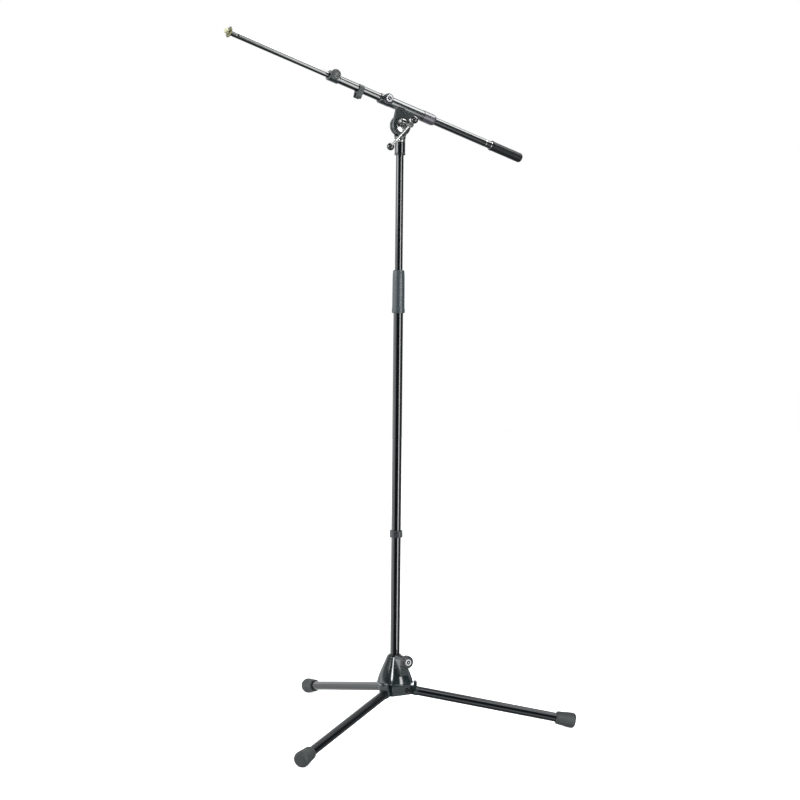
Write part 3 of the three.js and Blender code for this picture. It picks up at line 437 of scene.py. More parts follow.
def base_knob():
    near, far = 35.6, 47.6
    flutes, depth, rim_from = 20, 0.42, 9.4

    def fluted(r, z, angle):
        return r if r < rim_from else r - depth * (1 - math.cos(flutes * angle))

    body = turned(
        "base_knob_body",
        [(KNOB_SCREW_R + GAP, near), (9.9, near), (KNOB_R, near + 1.8), (KNOB_R, far - 2.6),
         (11.2, far - 1.6), (10.6, far - 1.3), (6.3, far - 1.3), (6.3, far - 1.6),
         (KNOB_SCREW_R + GAP, far - 1.6)],
        BASE_KNOB, sides=160, closed=True, soft=0.35, warp=fluted,
    )
    face = turned(
        "base_knob_face_ring",
        [(6.35, far - 1.2), (11.0, far - 1.2), (11.3, far - 0.9), (10.4, far - 0.1),
         (9.6, far + 0.1), (6.35, far + 0.1)],
        BASE_KNOB, sides=96, closed=True, soft=0.25,
    )
    screw = turned(
        "base_knob_screw_body",
        [(0, 9.1), (3, 9.1), (KNOB_SCREW_R, 10.1), (KNOB_SCREW_R, near + 6.5), (0, near + 6.5)],
        BASE_KNOB, sides=40,
    )
    cap = turned(
        "base_knob_badge",
        [(0, far - 1.3), (6, far - 1.3), (6, far + 0.2), (5.4, far + 0.7), (4.6, far + 0.7),
         (4.4, far + 0.25), (3.9, far + 0.25), (3.7, far + 0.6), (0, far + 0.7)],
        BASE_KNOB, sides=64, soft=0.12,
    )
    dot = turned("base_knob_ring_inlay", pipe(1.3, 3.6, far + 0.4, far + 0.78),
                 BASE_KNOB, sides=48, closed=True, soft=0.1)
    return body, face, screw, cap, dot


def foot(side):
    hinge, slope = leg_place(side)
    end = LEG_LENGTH
    start = end - FOOT_LENGTH
    step = end - 20
    bore = LEG_R + GAP
    body = turned(
        f"leg_{side}_boot",
        [(bore, start), (10.6, start), (11.2, start + 0.6), (12, start + 2), (12.5, start + 9),
         (12.9, step - 1), (13.0, step - 0.3), (13.5, step + 0.5), (14.0, end - 14),
         (FOOT_R, end - 9), (FOOT_R, end - 6), (FOOT_R - 0.6, end - 3.6), (12.3, end - 1.5),
         (FOOT_R - 4.6, end), (0, end), (0, LEG_END + GAP), (bore, LEG_END + GAP)],
        hinge @ slope @ TO_X, sides=80, closed=True, soft=0.5,
    )
    floor = block("floor cut", (90, 60, 20), (FOOT_TIP_R - HINGE_R - 20, 0, -10 - HINGE_Z), hinge)
    return combined(body, [floor])


def knuckle(side):
    hinge, slope = leg_place(side)
    swung = hinge @ slope
    outline = [(FLANGE_NEAR + 2, 7.6)] + arc(0, 0, 9, 90, 270, 28) + [(FLANGE_NEAR + 2, -7.6)]
    half = SLOT_HALF - 0.4
    tongue = slab(f"leg_{side}_hinge_arm", outline, -half, half, swung @ TO_FRONT, bevel=0.5)
    centre = -(FLANGE_NEAR + FLANGE_FAR) / 2 * math.tan(LEG_SLOPE)
    top = centre + 17.6
    plate = [(10.6, centre + 1), (7.4, top - 1.5), (6, top), (2, top), (1.2, top - 3),
             (-1.2, top - 3), (-2, top), (-6, top), (-7.4, top - 1.5), (-10.6, centre + 1)]
    plate += arc(0, centre + 0.8, 10.6, 180, 360, 32)[1:-1]
    flange = slab("flange", plate, FLANGE_NEAR, FLANGE_FAR, hinge @ YZ_TO_X, bevel=0.8)
    inner = LEG_R - LEG_WALL - GAP
    neck = turned("neck", [(0, FLANGE_FAR - 2), (LEG_R, FLANGE_FAR - 2), (LEG_R, LEG_START - GAP),
                           (inner, LEG_START - GAP), (inner, LEG_START + 18), (0, LEG_START + 18)],
                  swung @ TO_X, soft=0.3)
    arm = combined(tongue, [flange, neck], "UNION")
    return combined(arm, [drill(PIN_R + GAP, -12, 12, hinge @ TO_FRONT)])


def make_base():
    placed(base_casting(), "base", "cast_black", "cast", "base_casting")
    bush_r = LOWER_R + RUN
    bush = turned("base_guide_bush",
                  [(bush_r, CAST_TOP - 11.5), (bush_r + 1.7, CAST_TOP - 11.5),
                   (bush_r + 1.7, CAST_TOP + GAP), (12.4, CAST_TOP + GAP), (12.4, CAST_TOP + 1.2),
                   (11.8, CAST_TOP + 1.8), (bush_r, CAST_TOP + 1.8)],
                  closed=True, soft=0.3, sides=96)
    hole = drill(KNOB_SCREW_R + GAP, 5, 20, BASE_KNOB)
    placed(combined(bush, [hole]), "base", "inner_plastic", "black", "base_bush")
    body, face, screw, cap, dot = base_knob()
    placed(body, "base_knob", "knob_plastic", "knob", "base_knob")
    placed(face, "base_knob", "knob_plastic", "black")
    placed(screw, "base_knob", "chrome", "chrome", "base_knob_screw")
    placed(cap, "base_knob", "cap_silver", "silver", "base_knob_cap")
    placed(dot, "base_knob", "cap_silver", "ink")
    for side in LEG_AZIMUTH:
        hinge, slope = leg_place(side)
        placed(leg_pin(side), "base", "pin_black", "black", f"leg_{side}_pin")
        placed(knuckle(side), f"leg_{side}", "cast_black", "cast", f"leg_{side}_knuckle")
        tube = turned(f"leg_{side}_tube_skin", pipe(LEG_R - LEG_WALL, LEG_R, LEG_START, LEG_END),
                      hinge @ slope @ TO_X, sides=96, closed=True, soft=0.3)
        placed(tube, f"leg_{side}", "tube_black", "enamel", f"leg_{side}_tube")
        placed(foot(side), f"leg_{side}", "rubber", "rubber", f"leg_{side}_foot")


# ------------------------------------------------------------------ upright


def stop_ring():
    height, r, inner, bolt_r = 13, 12, LOWER_R + GAP, 1.5
    low = STOP_RING_Z - height / 2
    turn = Matrix.Rotation(-math.pi / 2, 4, "Z")
    across = turn @ at(14, 0, STOP_RING_Z) @ TO_FRONT
    ring = turned("stop_ring_band", pipe(inner, r, low, low + height), turn,
                  sides=96, closed=True, soft=0.9)
    ears = block("ears", (7, 8.4, height - 2), (12.5, 0, STOP_RING_Z), turn, bevel=0.7)
    ring = combined(ring, [ears], "UNION")
    split = block("split", (12, 1.2, height + 2), (14, 0, STOP_RING_Z), turn)
    hole = drill(bolt_r + GAP, -8, 8, across, sides=24)
    opening = drill(inner, low - 1, low + height + 1, turn, sides=96)
    ring = combined(ring, [split, hole, opening])
    screw = turned("stop_ring_bolt",
                   [(0, -4), (bolt_r, -4), (bolt_r, 4.5), (2.4, 4.5), (2.4, 6.2), (1.9, 6.7),
                    (1.1, 6.7), (1.1, 5.6), (0, 5.6)],
                   across, sides=36, soft=0.2)
    return ring, screw


def make_upright():
    inner = LOWER_R - LOWER_WALL
    low = CAST_BOTTOM + 3
    tube = turned("lower_tube_skin", pipe(inner, LOWER_R, low, LOWER_TOP),
                  sides=128, closed=True, soft=0.3)
    placed(tube, "upright", "tube_black", "enamel", "lower_tube")
    plug = turned("lower_tube_end_plug",
                  [(0, low - 2), (8.2, low - 2), (8.8, low - 1.3), (8.8, low - GAP),
                   (inner - GAP, low - GAP), (inner - GAP, low + 14), (0, low + 14)], soft=0.25)
    placed(plug, "upright", "inner_plastic", "black", "lower_tube_plug")
    ring, screw = stop_ring()
    placed(ring, "upright", "inner_plastic", "collar", "stop_ring")
    placed(screw, "upright", "pin_black", "black", "stop_ring_screw")

    bore = UPPER_R + RUN
    spigot = LOWER_R - LOWER_WALL - GAP / 2
    collet = turned("clutch_inner_collet",
                    [(bore, 795), (spigot, 795), (spigot, LOWER_TOP + GAP), (8.9, LOWER_TOP + GAP),
                     (8.9, 822), (8.3, 838), (bore, 838)], closed=True, soft=0.2)
    placed(collet, "upright", "inner_plastic", "black", "clutch_collet")

    grip_bore = LOWER_R + RUN + 0.1

    ribs, depth, skin_from, run_out = 16, 0.03, 10.6, 3

    def ribbed(r, z, angle):
        if r < skin_from or z < RIBS_BOTTOM or z > RIBS_TOP:
            return r
        fade = min(1, (z - RIBS_BOTTOM) / run_out, (RIBS_TOP - z) / run_out)
        return r - depth * fade * (1 - math.cos(ribs * angle))

    grip = turned(
        "clutch_grip_sleeve",
        [(grip_bore, CLUTCH_BOTTOM), (11, CLUTCH_BOTTOM), (11.8, CLUTCH_BOTTOM + 1), (11.9, 777),
         (11.75, 778.4), (11.4, 779), (11.4, 782), (11.35, 785), (11.3, 808), (11.1, 832),
         (11.05, 836), (10.95, 838.6), (10.7, 843), (10.2, CLUTCH_TOP - 1), (9.4, CLUTCH_TOP),
         (bore + 0.1, CLUTCH_TOP), (bore + 0.1, 841), (grip_bore, 839)],
        sides=216, closed=True, soft=0.5, warp=ribbed,
    )
    placed(grip, "clutch", "clutch_plastic", "clutch", "clutch_grip")

    inner = UPPER_R - UPPER_WALL
    top = HEAD_BOTTOM + 14.5
    tube = turned("upper_tube_skin", pipe(inner, UPPER_R, UPPER_BOTTOM, top),
                  sides=128, closed=True, soft=0.3)
    placed(tube, "upper_tube", "tube_black", "enamel", "upper_tube")
    bush_r = LOWER_R - LOWER_WALL - RUN
    bush = turned("upper_tube_slide_bush",
                  [(0, UPPER_BOTTOM - 12), (bush_r - 0.6, UPPER_BOTTOM - 12),
                   (bush_r, UPPER_BOTTOM - 11.4), (bush_r, UPPER_BOTTOM - GAP),
                   (inner - GAP, UPPER_BOTTOM - GAP), (inner - GAP, UPPER_BOTTOM + 16),
                   (0, UPPER_BOTTOM + 16)], soft=0.2)
    placed(bush, "upper_tube", "inner_plastic", "black", "upper_tube_bush")
    stud = turned("upper_tube_end_stud",
                  [(0, top - 22), (inner - GAP, top - 22), (inner - GAP, top + GAP),
                   (6.9, top + GAP), (6.9, top + 3.5), (4.7, top + 3.5), (4.7, top + 17),
                   (4.1, top + 17.6), (0, top + 17.6)],
                  sides=48, soft=0.2)
    placed(stud, "upper_tube", "zinc", "zinc", "upper_tube_stud")


# ------------------------------------------------------------------ head


def make_head():
    bore, b, n = UPPER_R + RUN, HEAD_BOTTOM, NECK_BOTTOM
    ring = turned("head_stop_ring",
                  [(bore, b), (9.4, b), (9.9, b + 0.6), (9.9, b + 3.3), (9.5, b + 3.8),
                   (bore, b + 3.8)],
                  closed=True, soft=0.4, sides=96)
    placed(ring, "head", "inner_plastic", "black", "head_ring")
    low, high, step = b + 3.8 + GAP, n - 4.9, b + 18.6
    collar = turned("head_collar_skin",
                    [(bore, low), (9.7, low), (9.7, high), (STUD_BORE, high), (STUD_BORE, step),
                     (bore, step)],
                    closed=True, soft=0.35, sides=96)
    placed(collar, "head", "tube_black", "enamel", "head_collar")
    shoulder = turned("head_shoulder_band",
                      [(STUD_BORE, high + GAP), (9.3, high + GAP), (9.9, high + 1.4),
                       (9.9, high + 2.6), (9.5, n - GAP), (STUD_BORE, n - GAP)],
                      closed=True, soft=0.4, sides=96)
    placed(shoulder, "head", "chrome", "washer", "head_shoulder")

    far = LUG_Y + LUG_T
    lug = turned("head_fixed_lug",
                 [(0, -far), (LUG_R - 1.4, -far), (LUG_R, -far + 1.4), (LUG_R, -LUG_Y),
                  (0, -LUG_Y)], PIVOT, sides=120, soft=0.5)
    neck = turned("neck",
                  [(0, n), (10.2, n), (10.4, n + 4), (11.3, n + 8), (13.5, n + 13), (15, n + 17),
                   (0, n + 17)], sides=96, soft=0.8)
    band = block("band", (40, 10.2 + far, 40), (0, (far - 10.2) / 2, n + 15))
    neck = combined(neck, [band], "INTERSECT")
    swing = drill(LUG_R + 0.6, -LUG_Y + GAP / 2, 20, PIVOT, sides=120)
    depth = LUG_R + 1.3
    folded = block("folded", (16, 20, depth), (-8, LUG_Y - GAP / 2 - 10, PIVOT_Z - depth / 2))
    neck = combined(neck, [swing, folded])
    lug = combined(lug, [neck], "UNION")
    holes = [drill(SCREW_R + GAP, -20, 20, PIVOT, sides=40),
             drill(STUD_BORE, n - 1, n + 4.5, sides=40)]
    placed(combined(lug, holes), "head", "cast_black", "cast", "head_lug")

    disc = turned("tilt_friction_disc", pipe(SCREW_R + GAP, 16.5, -0.7, 0.7), PIVOT,
                  closed=True, soft=0.15)
    placed(disc, "head", "inner_plastic", "black", "friction_disc")
    corner = 7.5
    hexagon = [(corner * math.cos(TAU * k / 6), corner * math.sin(TAU * k / 6)) for k in range(6)]
    nut = slab("pivot_hex_nut", hexagon, -far - GAP - 5, -far - GAP, PIVOT, bevel=0.5)
    nut = combined(nut, [drill(SCREW_R + GAP, -20, 20, PIVOT, sides=40)])
    placed(nut, "head", "chrome", "chrome", "pivot_nut")

    w = WASHER_BACK
    washer = turned("pivot_cupped_washer",
                    [(SCREW_R + GAP, w), (12.2, w), (12.2, w + 0.35), (11.6, w + 0.7),
                     (6.4, w + 1.8), (SCREW_R + GAP, WASHER_FACE)],
                    PIVOT, closed=True, sides=96, soft=0.3)
    placed(washer, "boom_mount", "chrome", "washer", "pivot_washer")


def make_t_screw():
    near, far, head_r, rod_r = T_HEAD_Y - 4.5, T_HEAD_Y + 4.5, 5.5, 2.3
    back = WASHER_FACE + GAP
    front, r = back + 2.6, 6.2
    screw = turned("t_screw_body",
                   [(0, -14), (SCREW_R - 0.6, -14), (SCREW_R, -13.4), (SCREW_R, back), (r, back),
                    (r, front - 0.8), (r - 0.8, front), (SCREW_R, front), (SCREW_R, near),
                    (head_r - 0.7, near), (head_r, near + 0.7), (head_r, far - 0.7),
                    (head_r - 0.7, far), (0, far)],
                   PIVOT, sides=56, soft=0.4)
    bar_place = at(0, -T_HEAD_Y, PIVOT_Z) @ Matrix.Rotation(-BAR_ANGLE, 4, "Y")
    screw = combined(screw, [drill(rod_r + GAP, -10, 10, bar_place @ TO_X)])
    placed(screw, "t_screw", "pin_black", "dark_steel", "t_screw")

    high, low, sunk = BALL_STOP, BALL_STOP - BAR_SPAN, 2
    rod = turned("t_bar_rod_body", bar(rod_r, low + sunk, high - sunk), bar_place @ TO_X,
                 sides=48, soft=0.3)
    placed(rod, "t_bar", "chrome", "chrome", "t_bar_rod")
    first, bands = math.asin((rod_r + GAP) / BALL_R), 28
    points = [(0, sunk - GAP), (rod_r + GAP, sunk - GAP)]
    for k in range(bands):
        a = first + (math.pi - first) * k / bands
        points.append((BALL_R * math.sin(a), BALL_R * math.cos(a)))
    points.append((0, -BALL_R))
    for name, x, mouth in (("upper", high, -1), ("lower", low, 1)):
        ball = turned(f"t_bar_ball_{name}_body", points,
                      bar_place @ at(x, 0, 0) @ Matrix.Rotation(math.pi / 2 * mouth, 4, "Y"),
                      sides=56, soft=0, sharp=40)
        placed(ball, "t_bar", "ball_black", "ball", f"t_bar_ball_{name}")


# ------------------------------------------------------------------ boom


def boom_yoke():
    top = OFFSET - 3
    meet = math.degrees(math.atan2(15.3, 10.4))
    lug = arc(0, 0, LUG_R, 180, 360 + meet, 72)[1:]
    plate = [(-20.7, top), (-LUG_R, 2)] + lug + [(20.7, 27), (20.7, top)]
    far, front = LUG_Y + LUG_T, BOOM @ TO_FRONT
    yoke = slab("boom_yoke_body", plate, LUG_Y, far, front, bevel=0.7)
    slit = [(-14, 22.5)] + arc(-1, 23.6, 1.1, -90, 90, 8) + [(-14, 24.7)]
    yoke = combined(yoke, [slab("groove", slit, far - 2.5, far + 2.5, front, bevel=0)])
    sleeve = turned("sleeve",
                    [(0, SPIGOT_FRONT), (SPIGOT_R, SPIGOT_FRONT), (SPIGOT_R, SLEEVE_FRONT),
                     (SLEEVE_R, SLEEVE_FRONT), (SLEEVE_R, SLEEVE_REAR), (SPIGOT_R, SLEEVE_REAR),
                     (SPIGOT_R, SPIGOT_REAR), (0, SPIGOT_REAR)],
                    ALONG_BOOM, sides=96, soft=0.4)
    yoke = combined(yoke, [sleeve], "UNION")
    return combined(yoke, [drill(OUTER_R + RUN, -60, 60, ALONG_BOOM, sides=96),
                           drill(SCREW_R + GAP, -20, 20, front, sides=40)])


def clamp_body(name, c, bores):
    """A clamp's shell and screw boss. bores: its radii from the front on, each with its start."""
    shell = turned(name,
                   [(0, c["front"]), (CLAMP_R - 1, c["front"]), (CLAMP_R, c["front"] + 1),
                    (CLAMP_R, c["rear"] - 1), (CLAMP_R - 1, c["rear"]), (0, c["rear"])],
                   BOOM_AXIS @ at(0, 0, -c["drop"]) @ TO_X, sides=88, soft=0.8)
    screw_place = BOOM_AXIS @ at(c["x"], 0, c["z"]) @ TO_FRONT
    boss = turned("boss", [(0, 0), (7.6, 0), (7.6, 10.6), (6.9, 11.4), (0, 11.4)],
                  screw_place, sides=64, soft=0.4)
    shell = combined(shell, [boss], "UNION")
    end = c["rear"] + 20
    hole = [(0, bores[0][1])]
    for (r, start), (_, stop) in zip(bores, bores[1:] + [(0, end)]):
        hole += [(r, start), (r, stop)]
    hole.append((0, end))
    return combined(shell, [turned("hole", hole, ALONG_BOOM, sides=80, soft=0),
                            drill(CLAMP_SCREW_R + GAP, 0, 14, screw_place, sides=28)])


def clamp_knob(c, stem, tube_r, capped):
    """A clamp's knob, its screw, and its cap with the inlay or its plain plug."""
    place = BOOM_AXIS @ at(c["x"], 0, c["z"]) @ TO_FRONT
    near, far, rim, bore = 11.9, 19.4, CLAMP_KNOB_R, 2.8
    flutes, depth = 18 if capped else 24, 0.3

    def fluted(r, z, angle):
        return r if r < rim - 1.6 else r - depth * (1 - math.cos(flutes * angle))

    profile = [(bore, near), (rim - 1.4, near), (rim, near + 1.3), (rim, far - 1.3),
               (rim - 1.2, far - 0.1)]
    if capped:
        profile += [(rim - 1.9, far), (6.75, far - 0.2), (6.7, far - 1.4), (bore, far - 1.4)]
    else:
        profile += [(rim - 2.2, far), (6.2, far), (5.8, far - 0.4), (5.4, far - 0.7),
                    (bore, far - 0.8)]
    body = turned(f"{stem}_knob_body", profile, place,
                  sides=168, closed=True, soft=0.35, warp=fluted)
    screw = turned(f"{stem}_screw_body",
                   [(0, tube_r + GAP), (2, tube_r + GAP), (CLAMP_SCREW_R, tube_r + 0.8),
                    (CLAMP_SCREW_R, near + 4.5), (0, near + 4.5)],
                   place, sides=36, soft=0.2)
    if not capped:
        disc = turned(f"{stem}_knob_plug",
                      [(0, near + 5), (2.7, near + 5), (2.7, far - 0.9), (2.2, far - 0.7),
                       (0, far - 0.65)], place, sides=48, soft=0.15)
        return body, screw, [disc]
    cap = turned(f"{stem}_badge",
                 [(0, far - 1.1), (6.4, far - 1.1), (6.4, far + 0.2), (5.9, far + 0.6),
                  (5.0, far + 0.6), (4.8, far + 0.3), (4.3, far + 0.3), (4.1, far + 0.6),
                  (0, far + 0.6)],
                 place, sides=64, soft=0.12)
    mark = turned(f"{stem}_ring_inlay", pipe(1.3, 3.9, far + 0.3, far + 0.68),
                  place, sides=40, closed=True, soft=0.1)
    return body, screw, [cap, mark]


def thread(name, r, a, b, place, pitch=1.6, depth=0.5, sides=48, rows_per_turn=10):
    """A stud with a real helical thread between a and b, that runs out over its ends."""
    bm = bmesh.new()
    steps = int((b - a) / pitch * rows_per_turn)
    run_out, chamfer = 0.8, 0.6
    rows = []
    for i in range(steps + 1):
        z = a + (b - a) * i / steps
        taper = min(1, (z - a) / run_out + 0.25, (b - z) / run_out + 0.1)
        row = []
        for k in range(sides):
            angle = TAU * k / sides
            phase = ((z - a) / pitch - k / sides) % 1
            wave = abs(2 * phase - 1)
            radius = r - depth * wave * taper - (1 - min(1, (z - a) / run_out + 0.4)) * chamfer
            row.append(bm.verts.new((radius * math.cos(angle), radius * math.sin(angle), z)))
        rows.append(row)
    for low, high in zip(rows, rows[1:]):
        for k in range(sides):
            n = (k + 1) % sides
            bm.faces.new((low[k], low[n], high[n], high[k]))
    bm.faces.new(rows[0])
    bm.faces.new(rows[-1])
    return made(name, bm, place, 50)


def make_boom():
    placed(boom_yoke(), "boom_mount", "cast_black", "cast", "boom_yoke")
    mount = clamp_body("mount_clamp_shell", MOUNT,
                       [(OUTER_R + RUN, -80), (SPIGOT_R + GAP, SPIGOT_FRONT - GAP)])
    placed(mount, "boom_mount", "cast_black", "cast", "mount_clamp_body")
    body, screw, extra = clamp_knob(MOUNT, "mount_clamp", OUTER_R, True)
    placed(body, "mount_clamp_knob", "knob_plastic", "black", "mount_clamp_knob")
    placed(screw, "mount_clamp_knob", "chrome", "chrome", "mount_clamp_screw")
    placed(extra[0], "mount_clamp_knob", "cap_silver", "silver", "mount_clamp_cap")
    placed(extra[1], "mount_clamp_knob", "cap_silver", "ink")
    start, end = SLEEVE_REAR + GAP, 65.0
    bush = turned("sleeve_rear_collar",
                  [(SPIGOT_R + GAP, start), (10.4, start), (10.4, end - 4), (9.2, end),
                   (OUTER_R + RUN, end), (OUTER_R + RUN, start + 4.3),
                   (SPIGOT_R + GAP, start + 4.3)],
                  ALONG_BOOM, sides=96, closed=True, soft=0.35)
    placed(bush, "boom_mount", "tube_black", "bush", "sleeve_rear_bush")

    tube = turned("boom_outer_skin", pipe(OUTER_R - OUTER_WALL, OUTER_R, OUTER_FRONT, OUTER_REAR),
                  ALONG_BOOM, sides=112, closed=True, soft=0.3)
    placed(tube, "boom_outer", "tube_black", "enamel", "boom_outer_tube")
    tip = clamp_body("tip_clamp_shell", TIP,
                     [(INNER_R + RUN, -190), (OUTER_R + LINER, OUTER_FRONT - GAP)])
    placed(tip, "boom_outer", "cast_black", "cast", "tip_clamp_body")
    body, screw, extra = clamp_knob(TIP, "tip_clamp", INNER_R, False)
    placed(body, "tip_clamp_knob", "knob_plastic", "knob", "tip_clamp_knob")
    placed(screw, "tip_clamp_knob", "chrome", "chrome", "tip_clamp_screw")
    placed(extra[0], "tip_clamp_knob", "knob_plastic", "cap_grey")
    f, r = GRIP_FRONT, GRIP_REAR
    grip = turned("boom_grip_sleeve",
                  [(OUTER_R + LINER, f), (GRIP_R, f), (GRIP_R + 0.5, f + 0.8),
                   (GRIP_R + 0.5, f + 3), (GRIP_R, f + 4), (GRIP_R - 0.05, f + 30),
                   (GRIP_R, r - 2.5), (GRIP_R - 1, r - 0.7), (GRIP_R - 2.2, r), (0, r),
                   (0, OUTER_REAR + GAP), (OUTER_R + LINER, OUTER_REAR + GAP)],
                  ALONG_BOOM, sides=96, closed=True, soft=0.5)
    placed(grip, "boom_outer", "rubber", "grip", "boom_grip")
    ring = turned("boom_grip_trim", pipe(OUTER_R + LINER, 8, f - 2.3, f - GAP), ALONG_BOOM,
                  sides=80, closed=True, soft=0.3)
    placed(ring, "boom_outer", "cap_silver", "washer", "boom_grip_ring")
    # A thin light metal band round the outer tube ahead of the grip: painted highlight, standing in
    # for the glint of a small dimple there.
    band = turned("boom_grip_highlight_band", pipe(OUTER_R + 0.02, OUTER_R + 0.14, f - 14.4, f - 12.8),
                  ALONG_BOOM, sides=64, closed=True)
    placed(band, "boom_outer", "cap_silver", "washer")

    inner = INNER_R - INNER_WALL
    crimp_x, crimp_w, crimp_depth, crimp_turn = 13, 1.6, 0.5, 0.28
    crimps = math.radians(90), math.radians(270)

    def crimped(rr, z, angle):
        dip = math.exp(-(((z - INNER_FRONT - crimp_x) / crimp_w) ** 2))
        off = [(angle - a + math.pi) % TAU - math.pi for a in crimps]
        return rr - crimp_depth * dip * sum(math.exp(-(o / crimp_turn) ** 2) for o in off)

    points = [(inner, INNER_FRONT), (INNER_R, INNER_FRONT)]
    points += [(INNER_R, INNER_FRONT + 6 + k) for k in range(15)]
    points += [(INNER_R, INNER_REAR), (inner, INNER_REAR)]
    points += [(inner, INNER_FRONT + 20 - k) for k in range(15)]
    tube = turned("boom_inner_skin", points, ALONG_BOOM, sides=96, closed=True, soft=0.25,
                  warp=crimped)
    placed(tube, "boom_inner", "tube_black", "enamel", "boom_inner_tube")
    bush_r = OUTER_R - OUTER_WALL - RUN
    bush = turned("boom_inner_slide_bush",
                  [(0, INNER_REAR - 12), (inner - GAP, INNER_REAR - 12),
                   (inner - GAP, INNER_REAR + GAP), (bush_r, INNER_REAR + GAP),
                   (bush_r, INNER_REAR + 6), (bush_r - 0.7, INNER_REAR + 7), (0, INNER_REAR + 7)],
                  ALONG_BOOM, sides=56, soft=0.2)
    placed(bush, "boom_inner", "inner_plastic", "black", "boom_inner_bush")

    flange = INNER_FRONT - 3.2
    end = flange - 6.7
    back = INNER_FRONT - GAP
    stud = thread("tip_stud_threaded", STUD_R, end, back, ALONG_BOOM)
    shank = turned("shank", bar(inner - GAP, INNER_FRONT - 1, INNER_FRONT + 14), ALONG_BOOM,
                   sides=48, soft=0.2)
    placed(combined(stud, [shank], "UNION", 50), "boom_inner", "zinc", "zinc", "tip_stud")

    notches, depth, edge_from, bore = 28, 0.35, 8.6, STUD_R + GAP

    def notched(rr, z, angle):
        return rr if rr < edge_from else rr - depth * (1 - math.cos(notches * angle)) / 2

    ring = turned("tip_lock_ring_body",
                  [(bore, flange), (8.4, flange), (9.2, flange + 0.2), (10, flange + 0.9),
                   (10, back - 0.9), (9.2, back - 0.2), (8.4, back), (bore, back)],
                  ALONG_BOOM, sides=168, closed=True, soft=0.2, warp=notched)
    # The lock ring takes the darkened zinc copy: painted shade on its face turned from the lamps.
    placed(ring, "boom_inner", "zinc", "lock_ring", "tip_lock_ring")
    placed(cable_clip(), "cable_clip", "clip_plastic", "clip", "cable_clip")


def cable_clip():
    """A C, open at its top, on the boom, with a box open at its foot for the cable below it."""
    r, bottom, side = 9.3, -18.2, 6.2
    inner = OUTER_R + LINER
    mouth = 6.5
    a_out = math.degrees(math.asin(mouth / r))
    a_in = math.degrees(math.asin(mouth / inner))
    shoulder = math.degrees(0.6)
    top, lip, half, gap = -9.8, bottom + 1.4, 3.4, 2.3
    outline = arc(0, 0, r, 180 - a_out, 180 + shoulder, 20)
    outline += [(-side, bottom + 2), (-side + 2, bottom), (-gap, bottom), (-gap, lip),
                (-half, lip), (-half, top), (half, top), (half, lip), (gap, lip), (gap, bottom),
                (side - 1, bottom), (side, bottom + 1)]
    outline += arc(0, 0, r, -shoulder + 2, a_out, 18)
    outline += arc(0, 0, inner, a_in, -180 - a_in, 40)
    return slab("cable_clip_hook", outline, CLIP_X - CLIP_W / 2, CLIP_X + CLIP_W / 2,
                BOOM_AXIS @ YZ_TO_X, bevel=0.45)


make_base()
make_upright()
make_head()
make_t_screw()
make_boom()

# ------------------------------------------------------------------ studio


def area(name, where, towards, wide, tall, power, spread=180):
    """A rectangular lamp that the camera doesn't see: metres, watts and degrees."""
    light = bpy.data.lights.new(name, "AREA")
    light.shape = "RECTANGLE"
    light.size, light.size_y = wide, tall
    light.energy = power
    light.spread = math.radians(spread)
    lamp = bpy.data.objects.new(name, light)
    lamp.location = where
    lamp.rotation_mode = "QUATERNION"
    lamp.visible_camera = False
    lamp.rotation_quaternion = (Vector(towards) - Vector(where)).to_track_quat("-Z", "Y")
    scene.collection.objects.link(lamp)


VIEW_TURN = math.radians(31.6)  # the photograph's direction, round from -Y
TURN_COS, TURN_SIN = math.cos(VIEW_TURN), math.sin(VIEW_TURN)


def seen(right, back, up):
    """A point given as right of, behind and above the origin as the camera sees it."""
    return (TURN_COS * right + TURN_SIN * back, -TURN_SIN * right + TURN_COS * back, up)


area("overhead_right", seen(0.95, 0.2, 1.95), seen(-0.15, 0.05, 1.2), 1.0, 0.55, 6.5, 90)
area("strip_right", seen(0.98, -0.88, 0.5), (0, 0, 0.5), 0.36, 1.36, 10, 110)
area("panel_left", seen(-1.17, -0.57, 1.35), (0, 0, 1.15), 0.7, 0.8, 16)
area("panel_tip", seen(0.6, -0.6, 1.48), seen(-0.3, -0.19, 1.25), 0.33, 0.55, 0.35, 36)
area("overhead_mid", seen(0.22, 0.18, 1.95), seen(-0.35, -0.2, 1.25), 0.5, 0.4, 4.2, 90)

FLOOR_HALF = 5.0
grid = bmesh.new()
bmesh.ops.create_grid(grid, x_segments=2, y_segments=2, size=FLOOR_HALF)
floor_mesh = bpy.data.meshes.new("studio_floor")
grid.to_mesh(floor_mesh)
grid.free()
floor = bpy.data.objects.new("studio_floor", floor_mesh)
scene.collection.objects.link(floor)
floor.visible_glossy = False
floor.visible_shadow = False
paper = bpy.data.materials.new("studio_paper")
paper.use_nodes = True
paper_shader = paper.node_tree.nodes["Principled BSDF"]
paper_shader.inputs["Base Color"].default_value = (0.85, 0.85, 0.85, 1)
paper_shader.inputs["Roughness"].default_value = 0.9
paper_shader.inputs["Specular IOR Level"].default_value = 0.1
paper_shader.inputs["Emission Color"].default_value = (1, 1, 1, 1)
paper_shader.inputs["Emission Strength"].default_value = 0.7
floor_mesh.materials.append(paper)

world = bpy.data.worlds.new("studio")
scene.world = world
world.use_nodes = True
sky_nodes, sky_links = world.node_tree.nodes, world.node_tree.links
sky_nodes.clear()


def number(kind, a, b=None):
    """A maths node on two inputs, each a socket or a number."""
    node = sky_nodes.new("ShaderNodeMath")
    node.operation = kind
    for socket, value in zip(node.inputs, (a, b)):
        if value is None:
            continue
        if isinstance(value, (int, float)):
            socket.default_value = value
        else:
            sky_links.new(value, socket)
    return node.outputs[0]


def along(direction, axis):
    """How far a direction points along an axis."""
    node = sky_nodes.new("ShaderNodeVectorMath")
    node.operation = "DOT_PRODUCT"
    sky_links.new(direction, node.inputs[0])
    node.inputs[1].default_value = axis
    return node.outputs["Value"]


